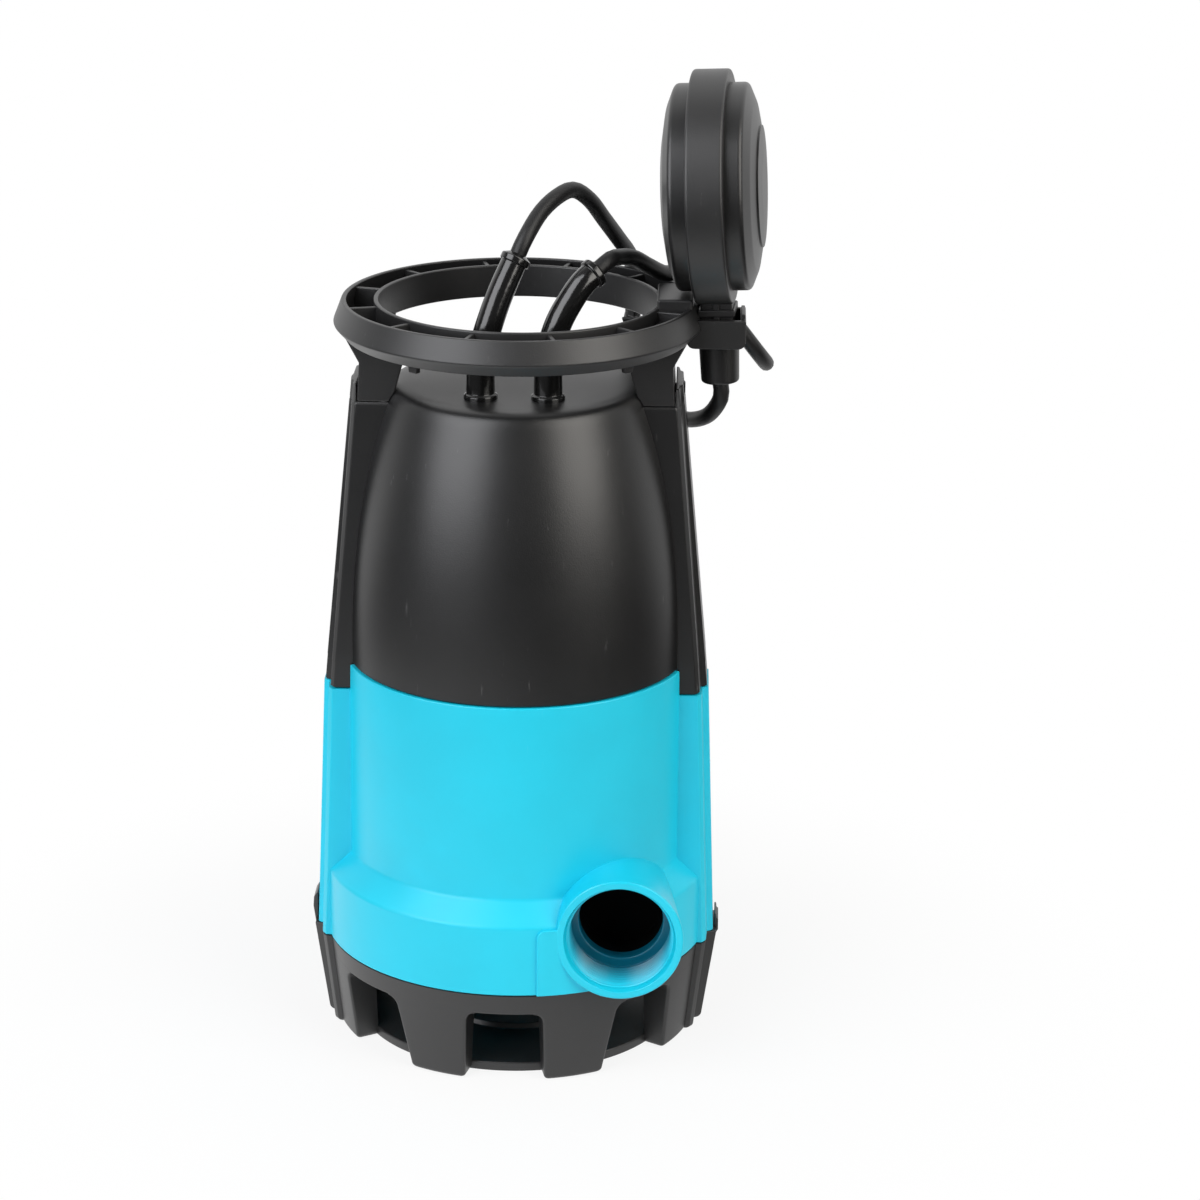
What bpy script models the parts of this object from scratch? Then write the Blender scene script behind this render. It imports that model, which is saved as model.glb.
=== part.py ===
"""Submersible sump pump for dirty water, with its float switch parked upright in the handle's holder.

Lengths are millimetres here; mesh_object and cord write metres. Z is up, the floor is z = 0,
the pump's axis is Z and its outlet faces -Y.
"""

import math

import bmesh
import bpy
from mathutils import Matrix, Vector

MM = 0.001
GAP = 0.3
WELD = 2e-6
PAST = 1.0
ROUND_STEPS = 40
SMALL_STEPS = 20
HIDDEN_STEPS = 16

# Heights of the three stacked mouldings
BASE_TOP = 45.0
CASING_BOTTOM = BASE_TOP + GAP
CASING_TOP = 180.0
NOTCH = CASING_TOP - 12.0
COLUMN_TOP = 304.0
PLATEAU = COLUMN_TOP + 6.0

# Outer radii: the base at its foot and top, the casing over the volute and above it, the housing
BASE_R = (85.0, 90.0)
VOLUTE_SKIN_R = BASE_R[1] + 0.2
CASING_SKIN_R = 80.3
HOUSING_R = CASING_SKIN_R - 1.9

# Side columns: (z, face half width, face reach, rib reach) at the two ends of each moulding
HOUSING_COLUMN = ((NOTCH, 25.0, HOUSING_R + 5.1, HOUSING_R + 10.2), (COLUMN_TOP, 22.0, 72.0, 75.6))
CASING_COLUMN = ((CASING_BOTTOM, 27.0, VOLUTE_SKIN_R - 1.7, VOLUTE_SKIN_R + 3.3),
                 (NOTCH, 25.4, CASING_SKIN_R + 3.7, CASING_SKIN_R + 8.7))
BASE_COLUMN = ((0.0, 26.0, BASE_R[0] - 2.0, BASE_R[0] + 3.5),
               (BASE_TOP, 27.0, BASE_R[1] - 1.7, BASE_R[1] + 5.2))
COLUMN_CHAMFER = 2.5
RIB_HALF = 12.0
RIB_CHAMFER = 1.5
ARC_STEPS = 8

# Base strainer
CAVITY_R = min(BASE_R) - 11.0
DISC_R = CAVITY_R - 0.4
DISC_T = 4.5
DISC_STEP = (38.0, 7.0)
RECESS_R = CAVITY_R + 2.0
RECESS_Z = 37.0
WINDOW_TOP = 35.0
WINDOW_CORNER = 4.5
# angles from the front, in degrees: (from, to) at the top edge and at the floor
WINDOWS = (((-12.0, 10.6), (-13.2, 11.7)), ((35.0, 56.0), (30.6, 56.5)), ((-60.0, -36.2), (-58.0, -31.6)))
# latch tab: (distance out from the casing's rib, height above the casing's lower edge)
LATCH = ((-3.0, -9.3), (1.6, -8.3), (3.1, -4.3), (3.1, 7.2), (1.9, 9.7), (0.6, 9.7), (0.6, -0.5),
         (-3.0, -0.5))
LATCH_HALF = 7.0

# Casing, outlet and volute
CASING_R = ((CASING_BOTTOM, VOLUTE_SKIN_R), (78.5, VOLUTE_SKIN_R - 0.2), (88.0, CASING_SKIN_R),
            (NOTCH, CASING_SKIN_R - 0.5))
CASING_RIM_R = CASING_SKIN_R - 0.7
CASING_INNER_R = CASING_RIM_R - 3.4
PARTITION = (93.0, 97.0)
PARTITION_HOLE = 22.0
PLATE_R = VOLUTE_SKIN_R - 4.9
PLATE_T = 3.6
PLATE_Z = CASING_BOTTOM + 0.1
INLET_R = (19.0, 22.0)
INLET_DEPTH = 6.0
OUTLET = (51.0, 73.4)
OUTLET_R = 28.0
OUTLET_ROOT = 20.0
OUTLET_EDGE = 1.2
OUTLET_MOUTH = 1.5 - BASE_R[1]
OUTLET_THREAD_R = 23.5
OUTLET_LEAD_R = 24.6
OUTLET_THREAD_DEPTH = 24.0
OUTLET_BORE_R = 19.2
PAD = (13.8, 77.5)
PAD_PROUD = 1.2
PAD_END = math.radians(40)
PAD_ROOT_R = 70.0
VOLUTE_R = (50.0, 71.0)
VOLUTE_SWEEP = (-60.0, 300.0)
VOLUTE_STEPS = 24

# Motor housing
HOUSING_DRAW = 16.5
HOUSING_POWER = 2.4
HOUSING_WALL = 4.5
# shares of the height from the casing's rim to the columns' tops
FLANK_LEVELS = (0.363, 0.581, 0.758, 0.887)
HOLLOW_LEVELS = (0.403, 0.661, 0.839, 0.944)
PLATEAU_R = 50.0
SHOULDER_Z = COLUMN_TOP - 2.0
SPIGOT_R = CASING_INNER_R - GAP
SPIGOT_BOTTOM = NOTCH - 10.0
SPIGOT_WALL = 4.4
ORING_Z = NOTCH - 5.0
ORING_R = 1.2
ORING_STEPS = 24
GROOVE_HALF = 1.5
# tongue outside each handle leg: levels above the columns' tops, and how far it stands in from their skin
TONGUE_LEVELS = (-8.0, 0.0, 10.0)
TONGUE_INSET = 0.15

# Motor and shaft
SHAFT_R = 6.0
SHAFT_END_R = 4.0
SHAFT_Z = (52.0, 61.0, 231.0)
BEARING_R = 16.0
BEARING_T = 10.0
LOWER_BEARING_Z = 109.6
UPPER_BEARING_Z = 212.8
SEAL_R = 11.0
SEAL_Z = (94.0, 107.0)
BRACKET_R = 74.0
BRACKET_TOP = 102.0
CAN_R = (50.3, 52.0)
CAN_TOP = 220.0
STATOR_R = (26.5, CAN_R[0] - GAP)
STATOR_Z = (138.0, 194.0)
WINDING_R = (29.5, 46.0)
WINDING_T = 15.0
ROTOR_R = 25.6
HUB_R = 22.0
BRACKET_T = 5.5
CAPACITOR_R = 17.0
CAPACITOR_Y = 28.0
CAPACITOR_T = 50.0
IMPELLER_R = 45.0
IMPELLER_Z = (61.0, 66.0, 84.0, 88.0)
IMPELLER_HUB_R = (11.0, 14.0)
VANE_COUNT = 6
VANE_T = 4.0
VANE_ROOT_R = 13.0
VANE_SWEEP = math.radians(28)
NUT_R = 7.4
NUT_T = 6.5

# Handle ring, its legs and the holder for the float
RING_TOP = 348.0
RING_SECTION = ((79.5, RING_TOP), (83.4, 337.7), (78.2, 332.0), (63.0, 333.0), (63.0, RING_TOP),
                (65.1, RING_TOP), (65.3, 336.2), (79.2, 337.0), (77.3, RING_TOP))
RIB_COUNT = 12
RIB_T = 2.0
RIB_R = (64.6, 78.4)
RIB_Z = (335.0, RING_TOP - 1.2)
# hooks under the ring: (middle radius, widths at the top and the foot, thickness, foot, top)
HOOK = (71.5, 6.0, 4.6, 3.0, 327.5, 333.5)
HOOK_ANGLES = (45.0, 233.6, 314.8)
LEG_HALF = 22.0
# (z, inner x, outer x): each leg widens under the ring
LEG_SECTIONS = ((COLUMN_TOP + GAP, 55.5, 71.3), (322.0, 50.6, 70.3), (334.5, 46.0, 77.0))
LEG_OUTER = LEG_SECTIONS[0][2]
LEG_WALL = 3.0
BRIDGE = (62.5, 78.4, 16.5, 335.0, 352.0)
WEB_Z = (334.0, 346.0)
HOLDER = (76.0, 102.4, 14.0, 329.0, 342.0)
HOLDER_POCKET = (79.8, 100.0, 11.5, 334.0, 360.0)
HOLDER_LIP = (100.0, 102.4, 9.0, 333.0, 344.0)
HOLDER_CORNER = 3.5

# Float: its own frame has Z along the gland and X along the disc's axle
FLOAT_PIVOT = (91.0, 0.0, 320.0)
FLOAT_LEAN = math.radians(-3.0)
FLOAT_YAW = math.radians(-5.0)
SHELL_R = 46.0
BAND_R = SHELL_R + 6.0
BAND_HALF = 8.3
BAND_EDGE = 1.5
FLOAT_CENTRE = BAND_R + 28.0
SHELL_RIM = 15.7
SHELL_DOME = 22.4
SHELL_WALL = 2.4
SHELL_DISC_R = 27.0
SHELL_DISC_T = 0.5
NECK = (8.3, 8.0, 15.0)
GLAND_R = (9.3, 8.6)
GLAND_Z = (-9.2, NECK[2] - GAP)
CARRIER_T = 2.4
RACE_R = (8.0, 9.6)
RACE_Z = (-24.0, 20.0)
RACE_FLOOR = 2.0
BALL_R = 7.5
SWITCH = (10.0, 20.0, 13.0)

# Cables, boots and plug
CABLE_R = 3.7
CABLE_STEP = 4 * CABLE_R
BOOT_X = 15.0
BOOT_Y = -33.0
BOOT_HOLE_R = 5.8
BOOT_STEM = 4.0
BOOT_RADII = ((0.0, 7.6), (0.03, 7.6), (0.045, 6.4), (0.5, 6.1), (0.955, 5.8), (0.965, 6.8), (1.0, 6.8))
FLOAT_BOOT = ((-15, -33, 322), (-14, -32.9, 333), (-11, -31.8, 344), (-6.2, -28.6, 357.5),
              (0.9, -23.5, 373.2))
POWER_BOOT = ((15, -33, 322), (15.9, -32.9, 333), (19.6, -32.2, 345), (25.6, -30.2, 356),
              (30.6, -27.8, 362.6), (36.2, -24, 367))
FLOAT_ROUTE = ((10, -11, 389), (17, -1, 394.4), (24, 10, 395.4), (31, 21, 388.5), (37, 33, 377.5),
               (44, 50, 363.7), (48.4, 65, 353.4), (50, 77, 342), (50, 84.5, 330), (50, 87, 316),
               (52, 84, 301), (57, 73, 289.5), (65, 56, 283), (73, 39, 282.5), (80, 25, 285.5),
               (87, 10, 292.5))
POWER_ROUTE = ((44, -14.5, 370.5), (51, -1, 367.5), (58, 13, 360.5), (65, 26.5, 354), (72, 37, 352),
               (80, 42, 348), (88, 44, 339), (95, 45, 330.3), (101, 46, 322.5), (108.7, 51.2, 311.4),
               (113, 62.5, 303.4), (112.7, 76.6, 300.4), (107.9, 90, 303.3), (100, 98.8, 311.2),
               (91, 102, 321), (84, 104, 327.4), (72, 106, 330.6), (60, 108, 327.4), (51.2, 110, 318.6),
               (48, 111.5, 306.6), (47.5, 113, 285), (46, 114, 255), (43, 114, 222), (38, 114, 190),
               (32, 112, 150), (27, 108, 115), (24, 103.5, 82), (22, 100.8, 52), (17.5, 99.6, 27),
               (8, 99.6, 11.5))

# Put-away coil on the floor behind the pump, wound clockwise from its front
COIL_CENTRE = (-10.0, 206.0)
COIL_R = (44.5, 90.5)
COIL_LAYER_COUNT = 4
COIL_LAYER_TURNS = 5.45
COIL_LAYER_RISE = 8.1
COIL_FLOOR = 1.6
LEAD_IN = 12.5
LEAD_IN_TURNS = 0.4
COIL_POINT_COUNT = 14
TAIL_POINT_COUNT = 5
TAIL_R = 74.0
TIE_T = 1.1
TIE_W = 8.0
TIE_ANGLE = math.radians(60.0)
PLUG_R = 18.5
PLUG_BODY = 36.0
PLUG_RELIEF = 34.0
PLUG_EDGE = 1.5
PLUG_AXIS_R = 64.0
PLUG_SET_BACK = 20.0
PIN_R = 2.4
PIN_LENGTH = 19.0
PIN_HALF_PITCH = 9.5

# Screws
HANDLE_SCREW_Z = COLUMN_TOP + 3.5
HANDLE_SCREW_SEAT = LEG_OUTER + GAP + 1.3
SCREW_R = 2.0
HEAD_R = 4.0
HEAD_T = 2.6
BASE_SCREW = (CASING_COLUMN[0][3] - 13.5, 16.0)
BASE_SCREW_SEAT = BASE_TOP - 13.0
BASE_SCREW_END = BASE_TOP + 17.0
HANDLE_SCREW_LENGTH = 11.0
DRILL_STEPS = 12
SCREW_STEPS = 8

MATERIALS = {
    "turquoise_plastic": ((0.021, 0.565, 0.760, 1), 0.32, 0.0),
    "black_plastic": ((0.018, 0.018, 0.019, 1), 0.42, 0.0),
    "grey_black_plastic": ((0.030, 0.030, 0.031, 1), 0.50, 0.0),
    "inner_plastic": ((0.030, 0.030, 0.034, 1), 0.45, 0.0),
    "glossy_rubber": ((0.010, 0.010, 0.010, 1), 0.22, 0.0),
    "cable_rubber": ((0.014, 0.014, 0.015, 1), 0.55, 0.0),
    "seal_rubber": ((0.012, 0.012, 0.012, 1), 0.60, 0.0),
    "steel": ((0.56, 0.57, 0.58, 1), 0.30, 1.0),
    "silicon_steel": ((0.22, 0.23, 0.24, 1), 0.45, 1.0),
    "cast_aluminium": ((0.62, 0.63, 0.64, 1), 0.45, 1.0),
    "copper_winding": ((0.50, 0.17, 0.06, 1), 0.40, 1.0),
    "white_plastic": ((0.75, 0.75, 0.73, 1), 0.45, 0.0),
    "nickel_pin": ((0.70, 0.68, 0.62, 1), 0.25, 1.0),
}


def clear_scene():
    for old in list(bpy.data.objects):
        bpy.data.objects.remove(old)


def material(name):
    found = bpy.data.materials.get(name)
    if found:
        return found
    made = bpy.data.materials.new(name)
    made.use_nodes = True
    colour, roughness, metallic = MATERIALS[name]
    shader = made.node_tree.nodes["Principled BSDF"]
    shader.inputs["Base Color"].default_value = colour
    shader.inputs["Roughness"].default_value = roughness
    shader.inputs["Metallic"].default_value = metallic
    made.diffuse_color = colour
    return made


def mesh_object(name, points, faces, slot):
    """A closed mesh from points in millimetres, its faces turned outward and its round sides smooth."""
    mesh = bpy.data.meshes.new(name)
    mesh.from_pydata([Vector(p) * MM for p in points], [], faces)
    shape = bmesh.new()
    shape.from_mesh(mesh)
    bmesh.ops.remove_doubles(shape, verts=shape.verts, dist=1e-7)
    bmesh.ops.recalc_face_normals(shape, faces=shape.faces)
    shape.to_mesh(mesh)
    shape.free()
    mesh.materials.append(material(slot))
    made = bpy.data.objects.new(name, mesh)
    bpy.context.scene.collection.objects.link(made)
    return made


def smooth(part):
    part.data.shade_smooth()
    part.data.set_sharp_from_angle(angle=math.radians(35))
    return part


def boolean(part, other, operation):
    """Joins or cuts with another object, which is used up."""
    step = part.modifiers.new(operation.title(), "BOOLEAN")
    step.operation = operation
    step.solver = "EXACT"
    step.object = other
    graph = bpy.context.evaluated_depsgraph_get()
    result = bpy.data.meshes.new_from_object(part.evaluated_get(graph))
    part.modifiers.clear()
    shape = bmesh.new()
    shape.from_mesh(result)
    bmesh.ops.remove_doubles(shape, verts=shape.verts, dist=WELD)
    bmesh.ops.dissolve_degenerate(shape, edges=shape.edges, dist=WELD)
    shape.to_mesh(result)
    shape.free()
    part.data = result
    part.data.name = part.name
    bpy.data.objects.remove(other)
    return part


def cut(part, *tools):
    for tool in tools:
        boolean(part, tool, "DIFFERENCE")
    return part


def join(part, *others):
    for other in others:
        boolean(part, other, "UNION")
    return part


def turned(name, profile, slot, steps=ROUND_STEPS, place=None):
    """Revolves a profile of (radius, z). It closes on itself, or runs between two points on the axis."""
    solid = profile[0][0] == 0
    points, rings = [], []
    for radius, z in profile:
        first = len(points)
        count = 1 if radius == 0 else steps
        for i in range(count):
            turn = 2 * math.pi * i / steps
            points.append((radius * math.cos(turn), radius * math.sin(turn), z))
        rings.append([first + i % count for i in range(steps)])
    pairs = list(zip(rings, rings[1:])) if solid else list(zip(rings, rings[1:] + rings[:1]))
    faces = []
    for low, high in pairs:
        for i in range(steps):
            j = (i + 1) % steps
            ring = [low[i], low[j], high[j], high[i]]
            faces.append(list(dict.fromkeys(ring)))
    if place is not None:
        points = [place @ Vector(p) for p in points]
    return mesh_object(name, points, faces, slot)


def loft(name, sections, slot, place=None):
    """Skins closed outlines that have the same number of points, and caps both ends."""
    count = len(sections[0])
    points = [p for section in sections for p in section]
    faces = [list(range(count))]
    for s in range(len(sections) - 1):
        for i in range(count):
            j = (i + 1) % count
            faces.append([s * count + i, s * count + j, (s + 1) * count + j, (s + 1) * count + i])
    faces.append([(len(sections) - 1) * count + i for i in range(count)])
    if place is not None:
        points = [place @ Vector(p) for p in points]
    return mesh_object(name, points, faces, slot)


def prism(name, outline, low, high, slot, place=None):
    """Extrudes an outline of (x, y) from z = low to z = high."""
    return loft(name, [[(x, y, z) for x, y in outline] for z in (low, high)], slot, place)


def box(name, x, y, z, slot, corner=0.0):
    """A box between pairs of bounds, its upright edges rounded by corner."""
    if not corner:
        outline = [(x[0], y[0]), (x[1], y[0]), (x[1], y[1]), (x[0], y[1])]
        return prism(name, outline, z[0], z[1], slot)
    outline = []
    for k, (cx, cy) in enumerate(((x[0], y[0]), (x[1], y[0]), (x[1], y[1]), (x[0], y[1]))):
        ox = cx + (corner if k in (0, 3) else -corner)
        oy = cy + (corner if k in (0, 1) else -corner)
        for step in range(4):
            turn = math.pi * (1 + 0.5 * k + step / 6)
            outline.append((ox + corner * math.cos(turn), oy + corner * math.sin(turn)))
    return prism(name, outline, z[0], z[1], slot)


def rod(name, start, end, radius, slot="steel", steps=SMALL_STEPS):
    """A plain cylinder between two points."""
    axis = Vector(end) - Vector(start)
    place = Matrix.Translation(start) @ axis.to_track_quat("Z", "Y").to_matrix().to_4x4()
    profile = [(0, 0), (radius, 0), (radius, axis.length), (0, axis.length)]
    return turned(name, profile, slot, steps, place)


def drill(name, start, end, radius):
    """A cutter for a hole that clears a screw of this radius."""
    return rod(name, start, end, radius + GAP, steps=DRILL_STEPS)


def smooth_route(points, spacing):
    """Evenly spaced points on a smooth curve through the given ones."""
    given = [Vector(p) for p in points]
    before = [given[0] * 2 - given[1]] + given[:-1]
    after = given[1:] + [given[-1] * 2 - given[-2]]
    slopes = [(b - a) / 2 for a, b in zip(before, after)]
    fine = []
    for i in range(len(given) - 1):
        for step in range(24):
            t = step / 24
            h = (2 * t**3 - 3 * t**2 + 1, t**3 - 2 * t**2 + t, 3 * t**2 - 2 * t**3, t**3 - t**2)
            fine.append(given[i] * h[0] + slopes[i] * h[1] + given[i + 1] * h[2] + slopes[i + 1] * h[3])
    fine.append(given[-1])
    lengths = [0.0]
    for a, b in zip(fine, fine[1:]):
        lengths.append(lengths[-1] + (b - a).length)
    count = max(2, round(lengths[-1] / spacing))
    found, at = [], 0
    for step in range(count + 1):
        want = lengths[-1] * step / count
        while at < len(fine) - 2 and lengths[at + 1] < want:
            at += 1
        part = (want - lengths[at]) / (lengths[at + 1] - lengths[at])
        found.append(fine[at].lerp(fine[at + 1], part))
    return found


def route_length(points):
    return sum((b - a).length for a, b in zip(points, points[1:]))


def cable_path(start, out, route, end, back, spacing):
    """A cable's points, straight for one diameter out of each end and evenly spaced between."""
    reach = 2 * CABLE_R
    first, last = start + out * reach, end + back * reach
    inside = smooth_route([start, first, *route, last, end], spacing)
    far = 1.6 * reach
    inside = [p for p in inside if (p - start).length > far and (p - end).length > far]
    return [start, first, *inside, last, end]


def cord(name, points, sides):
    """A round cable as a bevelled curve; sides is the curve's bevel resolution."""
    curve = bpy.data.curves.new(name, "CURVE")
    curve.dimensions = "3D"
    curve.bevel_depth = CABLE_R * MM
    curve.bevel_resolution = sides
    curve.use_fill_caps = True
    run = curve.splines.new("POLY")
    run.points.add(len(points) - 1)
    for slot, p in zip(run.points, points):
        slot.co = (*(Vector(p) * MM), 1.0)
    curve.materials.append(material("cable_rubber"))
    made = bpy.data.objects.new(name, curve)
    bpy.context.scene.collection.objects.link(made)
    return made


def column_at(ends, z):
    """(face half width, face reach, rib reach) of a side column at a height."""
    (low, *first), (high, *last) = ends
    part = min(1.0, max(0.0, (z - low) / (high - low)))
    return [a + (b - a) * part for a, b in zip(first, last)]


def plan(z, radius, ends, flush=False, inset=0.0):
    """Outline of a moulding at one height: a circle with a ribbed column at each side, or without them."""
    half, face, rib = (v - inset for v in column_at(ends, z))
    side = face + 0.7 * COLUMN_CHAMFER
    corners = [(face, -half), (side, COLUMN_CHAMFER - half), (side + 0.6, -RIB_HALF - RIB_CHAMFER),
               (rib, -RIB_HALF)]
    corners += [(x, -y) for x, y in reversed(corners)]
    if flush:
        corners = [(x * radius / math.hypot(x, y), y * radius / math.hypot(x, y)) for x, y in corners]
    join_angle = math.asin(half / radius)
    swing = math.pi / 2 - join_angle
    front = [-math.pi / 2 + swing * i / ARC_STEPS for i in range(ARC_STEPS + 1)]
    back = [join_angle + swing * i / ARC_STEPS for i in range(ARC_STEPS)]
    right = [(radius * math.cos(a), radius * math.sin(a)) for a in front]
    right += corners
    right += [(radius * math.cos(a), radius * math.sin(a)) for a in back]
    outline = right + [(-x, -y) for x, y in right]
    return [(x, y, z) for x, y in outline]


def window_cutter(top, floor):
    """A window's wedge through the skirt, wider at the floor, with rounded upper corners."""
    sections = []
    beyond = 1.2 * BASE_R[1]
    levels = ((-PAST, 0.0), (WINDOW_TOP - WINDOW_CORNER, 0.0), (WINDOW_TOP - 0.3 * WINDOW_CORNER, 0.3),
              (WINDOW_TOP, 1.0))
    for z, narrow in levels:
        part = max(0.0, z) / WINDOW_TOP
        inset = math.degrees(narrow * WINDOW_CORNER / BASE_R[1])
        low = floor[0] + (top[0] - floor[0]) * part + inset
        high = floor[1] + (top[1] - floor[1]) * part - inset
        angles = [math.radians(low + (high - low) * i / 4 - 90) for i in range(5)]
        inner = [(DISC_R * math.cos(a), DISC_R * math.sin(a), z) for a in angles]
        outer = [(beyond * math.cos(a), beyond * math.sin(a), z) for a in reversed(angles)]
        sections.append(inner + outer)
    return loft("cutter", sections, "black_plastic")


def base_screw_spots():
    x, y = BASE_SCREW
    return [(x, -y), (x, y), (-x, -y), (-x, y)]


def build_base():
    outer = [plan(z, r, BASE_COLUMN) for z, r in zip((0.0, BASE_TOP), BASE_R)]
    part = loft("base_strainer", outer, "grey_black_plastic")
    rib = CASING_COLUMN[0][3]
    for side in (1, -1):
        outline = [(side * (rib + x), CASING_BOTTOM + z) for x, z in LATCH]
        place = Matrix.Rotation(math.pi / 2, 4, "X")
        join(part, prism("latch", outline, -LATCH_HALF, LATCH_HALF, "black_plastic", place))
    step_r, step_z = DISC_STEP
    hollow = [(0, step_z), (step_r, step_z), (step_r + 1, DISC_T), (CAVITY_R, DISC_T), (CAVITY_R, RECESS_Z),
              (RECESS_R, RECESS_Z), (RECESS_R, BASE_TOP + PAST), (0, BASE_TOP + PAST)]
    cut(part, turned("hollow", hollow, "black_plastic", 32))
    for half_turn in (0, 180):
        for top, floor in WINDOWS:
            shift = [a + half_turn for a in top], [a + half_turn for a in floor]
            cut(part, window_cutter(*shift))
    for x, y in base_screw_spots():
        cut(part, drill("bore", (x, y, -PAST), (x, y, BASE_SCREW_SEAT), HEAD_R))
        cut(part, drill("hole", (x, y, BASE_SCREW_SEAT - PAST), (x, y, BASE_TOP + PAST), SCREW_R))
    return smooth(part)


def build_suction_plate():
    low, high = PLATE_Z, PLATE_Z + PLATE_T
    bore, collar = INLET_R
    foot = low - INLET_DEPTH
    profile = [(bore, foot), (collar, foot), (collar, low), (PLATE_R, low), (PLATE_R, high),
               (bore + 2, high), (bore, high - 2)]
    part = turned("suction_plate", profile, "inner_plastic", 24)
    for x, y in base_screw_spots():
        cut(part, drill("hole", (x, y, low - PAST), (x, y, high + PAST), SCREW_R))
    return smooth(part)


def volute_outline():
    """Spiral that widens clockwise, seen from above, to the outlet side."""
    start, sweep = VOLUTE_SWEEP
    outline = []
    for i in range(VOLUTE_STEPS + 1):
        part = i / VOLUTE_STEPS
        turn = math.radians(start - sweep * part)
        radius = VOLUTE_R[0] + (VOLUTE_R[1] - VOLUTE_R[0]) * part
        outline.append((radius * math.cos(turn), radius * math.sin(turn)))
    return outline


def along_outlet():
    """Frame with Z along the outlet, out of the mouth, starting on the pump's cross plane."""
    return Matrix.Translation((OUTLET[0], 0, OUTLET[1])) @ Matrix.Rotation(math.pi / 2, 4, "X")


def build_casing():
    sections = [plan(z, r, CASING_COLUMN) for z, r in CASING_R]
    sections.append(plan(NOTCH, CASING_R[-1][1], CASING_COLUMN, flush=True))
    sections.append(plan(CASING_TOP, CASING_RIM_R, CASING_COLUMN, flush=True))
    part = loft("pump_casing", sections, "turquoise_plastic")
    pad_r = CASING_R[0][1] + PAD_PROUD
    pad_start = math.asin(PAD[0] / pad_r)
    angles = [pad_start + (PAD_END - pad_start) * i / 8 - math.pi / 2 for i in range(9)]
    outline = [(pad_r * math.cos(a), pad_r * math.sin(a)) for a in angles]
    outline += [(PAD_ROOT_R * math.cos(a), PAD_ROOT_R * math.sin(a)) for a in (angles[-1], angles[0])]
    join(part, prism("pad", outline, CASING_BOTTOM, PAD[1], "turquoise_plastic"))
    mouth = -OUTLET_MOUTH
    boss = [(0, OUTLET_ROOT), (OUTLET_R, OUTLET_ROOT), (OUTLET_R, mouth - OUTLET_EDGE),
            (OUTLET_R - OUTLET_EDGE, mouth), (0, mouth)]
    join(part, turned("boss", boss, "turquoise_plastic", place=along_outlet()))
    reach = CASING_INNER_R / math.cos(math.pi / ROUND_STEPS)
    end = CASING_TOP + PAST
    chamber = [(0, PARTITION[1]), (reach, PARTITION[1]), (reach, end), (0, end)]
    cut(part, turned("chamber", chamber, "turquoise_plastic"))
    low = PLATE_Z + PLATE_T + GAP
    seat = PLATE_R + GAP
    opening = [(0, CASING_BOTTOM - PAST), (seat, CASING_BOTTOM - PAST), (seat, low), (0, low)]
    cut(part, turned("opening", opening, "turquoise_plastic", 24))
    cut(part, prism("volute", volute_outline(), low - PAST, PARTITION[0], "turquoise_plastic"))
    cut(part, rod("eye", (0, 0, PARTITION[0] - PAST), (0, 0, PARTITION[1] + PAST), PARTITION_HOLE))
    step = mouth - OUTLET_THREAD_DEPTH
    bore = [(0, 2), (OUTLET_BORE_R, 2), (OUTLET_BORE_R, step), (OUTLET_THREAD_R, step),
            (OUTLET_THREAD_R, mouth - 2), (OUTLET_LEAD_R, mouth + 0.5), (0, mouth + 0.5)]
    cut(part, turned("bore", bore, "turquoise_plastic", place=along_outlet()))
    notch = HOUSING_COLUMN[0][1] + 0.4
    wide = CASING_COLUMN[0][3]
    cut(part, box("notch", (-wide, wide), (-notch, notch), (NOTCH, CASING_TOP + PAST), "turquoise_plastic"))
    for x, y in base_screw_spots():
        cut(part, drill("hole", (x, y, low - PAST), (x, y, BASE_SCREW_END + PAST), SCREW_R))
    return smooth(part)


def flank(z):
    """Outer radius of the motor housing's drawn-in side."""
    part = (z - CASING_TOP) / (COLUMN_TOP - CASING_TOP)
    return HOUSING_R - HOUSING_DRAW * max(0.0, part) ** HOUSING_POWER


def shoulder():
    """Points (radius, z) of the housing's rounded shoulder, from the columns' tops to the plateau."""
    reach = flank(SHOULDER_Z) - PLATEAU_R
    rise = PLATEAU - SHOULDER_Z
    cap = math.asin((COLUMN_TOP - SHOULDER_Z) / rise)
    turns = [cap + (math.pi / 2 - cap) * step / 2 for step in range(3)]
    return [(PLATEAU_R + reach * math.cos(turn), SHOULDER_Z + rise * math.sin(turn)) for turn in turns]


def tongue_section(z):
    """Plan of the tongue outside a handle leg: the column's outer skin, carried on above it."""
    (low, *first), (high, *last) = HOUSING_COLUMN
    part = (z - low) / (high - low)
    half, face, rib = (a + (b - a) * part - TONGUE_INSET for a, b in zip(first, last))
    inner = LEG_OUTER + GAP
    side = face + 0.7 * COLUMN_CHAMFER
    start = min(half, half - COLUMN_CHAMFER * (inner - face) / (side - face))
    corners = [(inner, -start), (side, COLUMN_CHAMFER - half), (side + 0.6, -RIB_HALF - RIB_CHAMFER),
               (rib, -RIB_HALF)]
    corners += [(x, -y) for x, y in reversed(corners)]
    return [(x, y, z) for x, y in corners]


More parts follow.
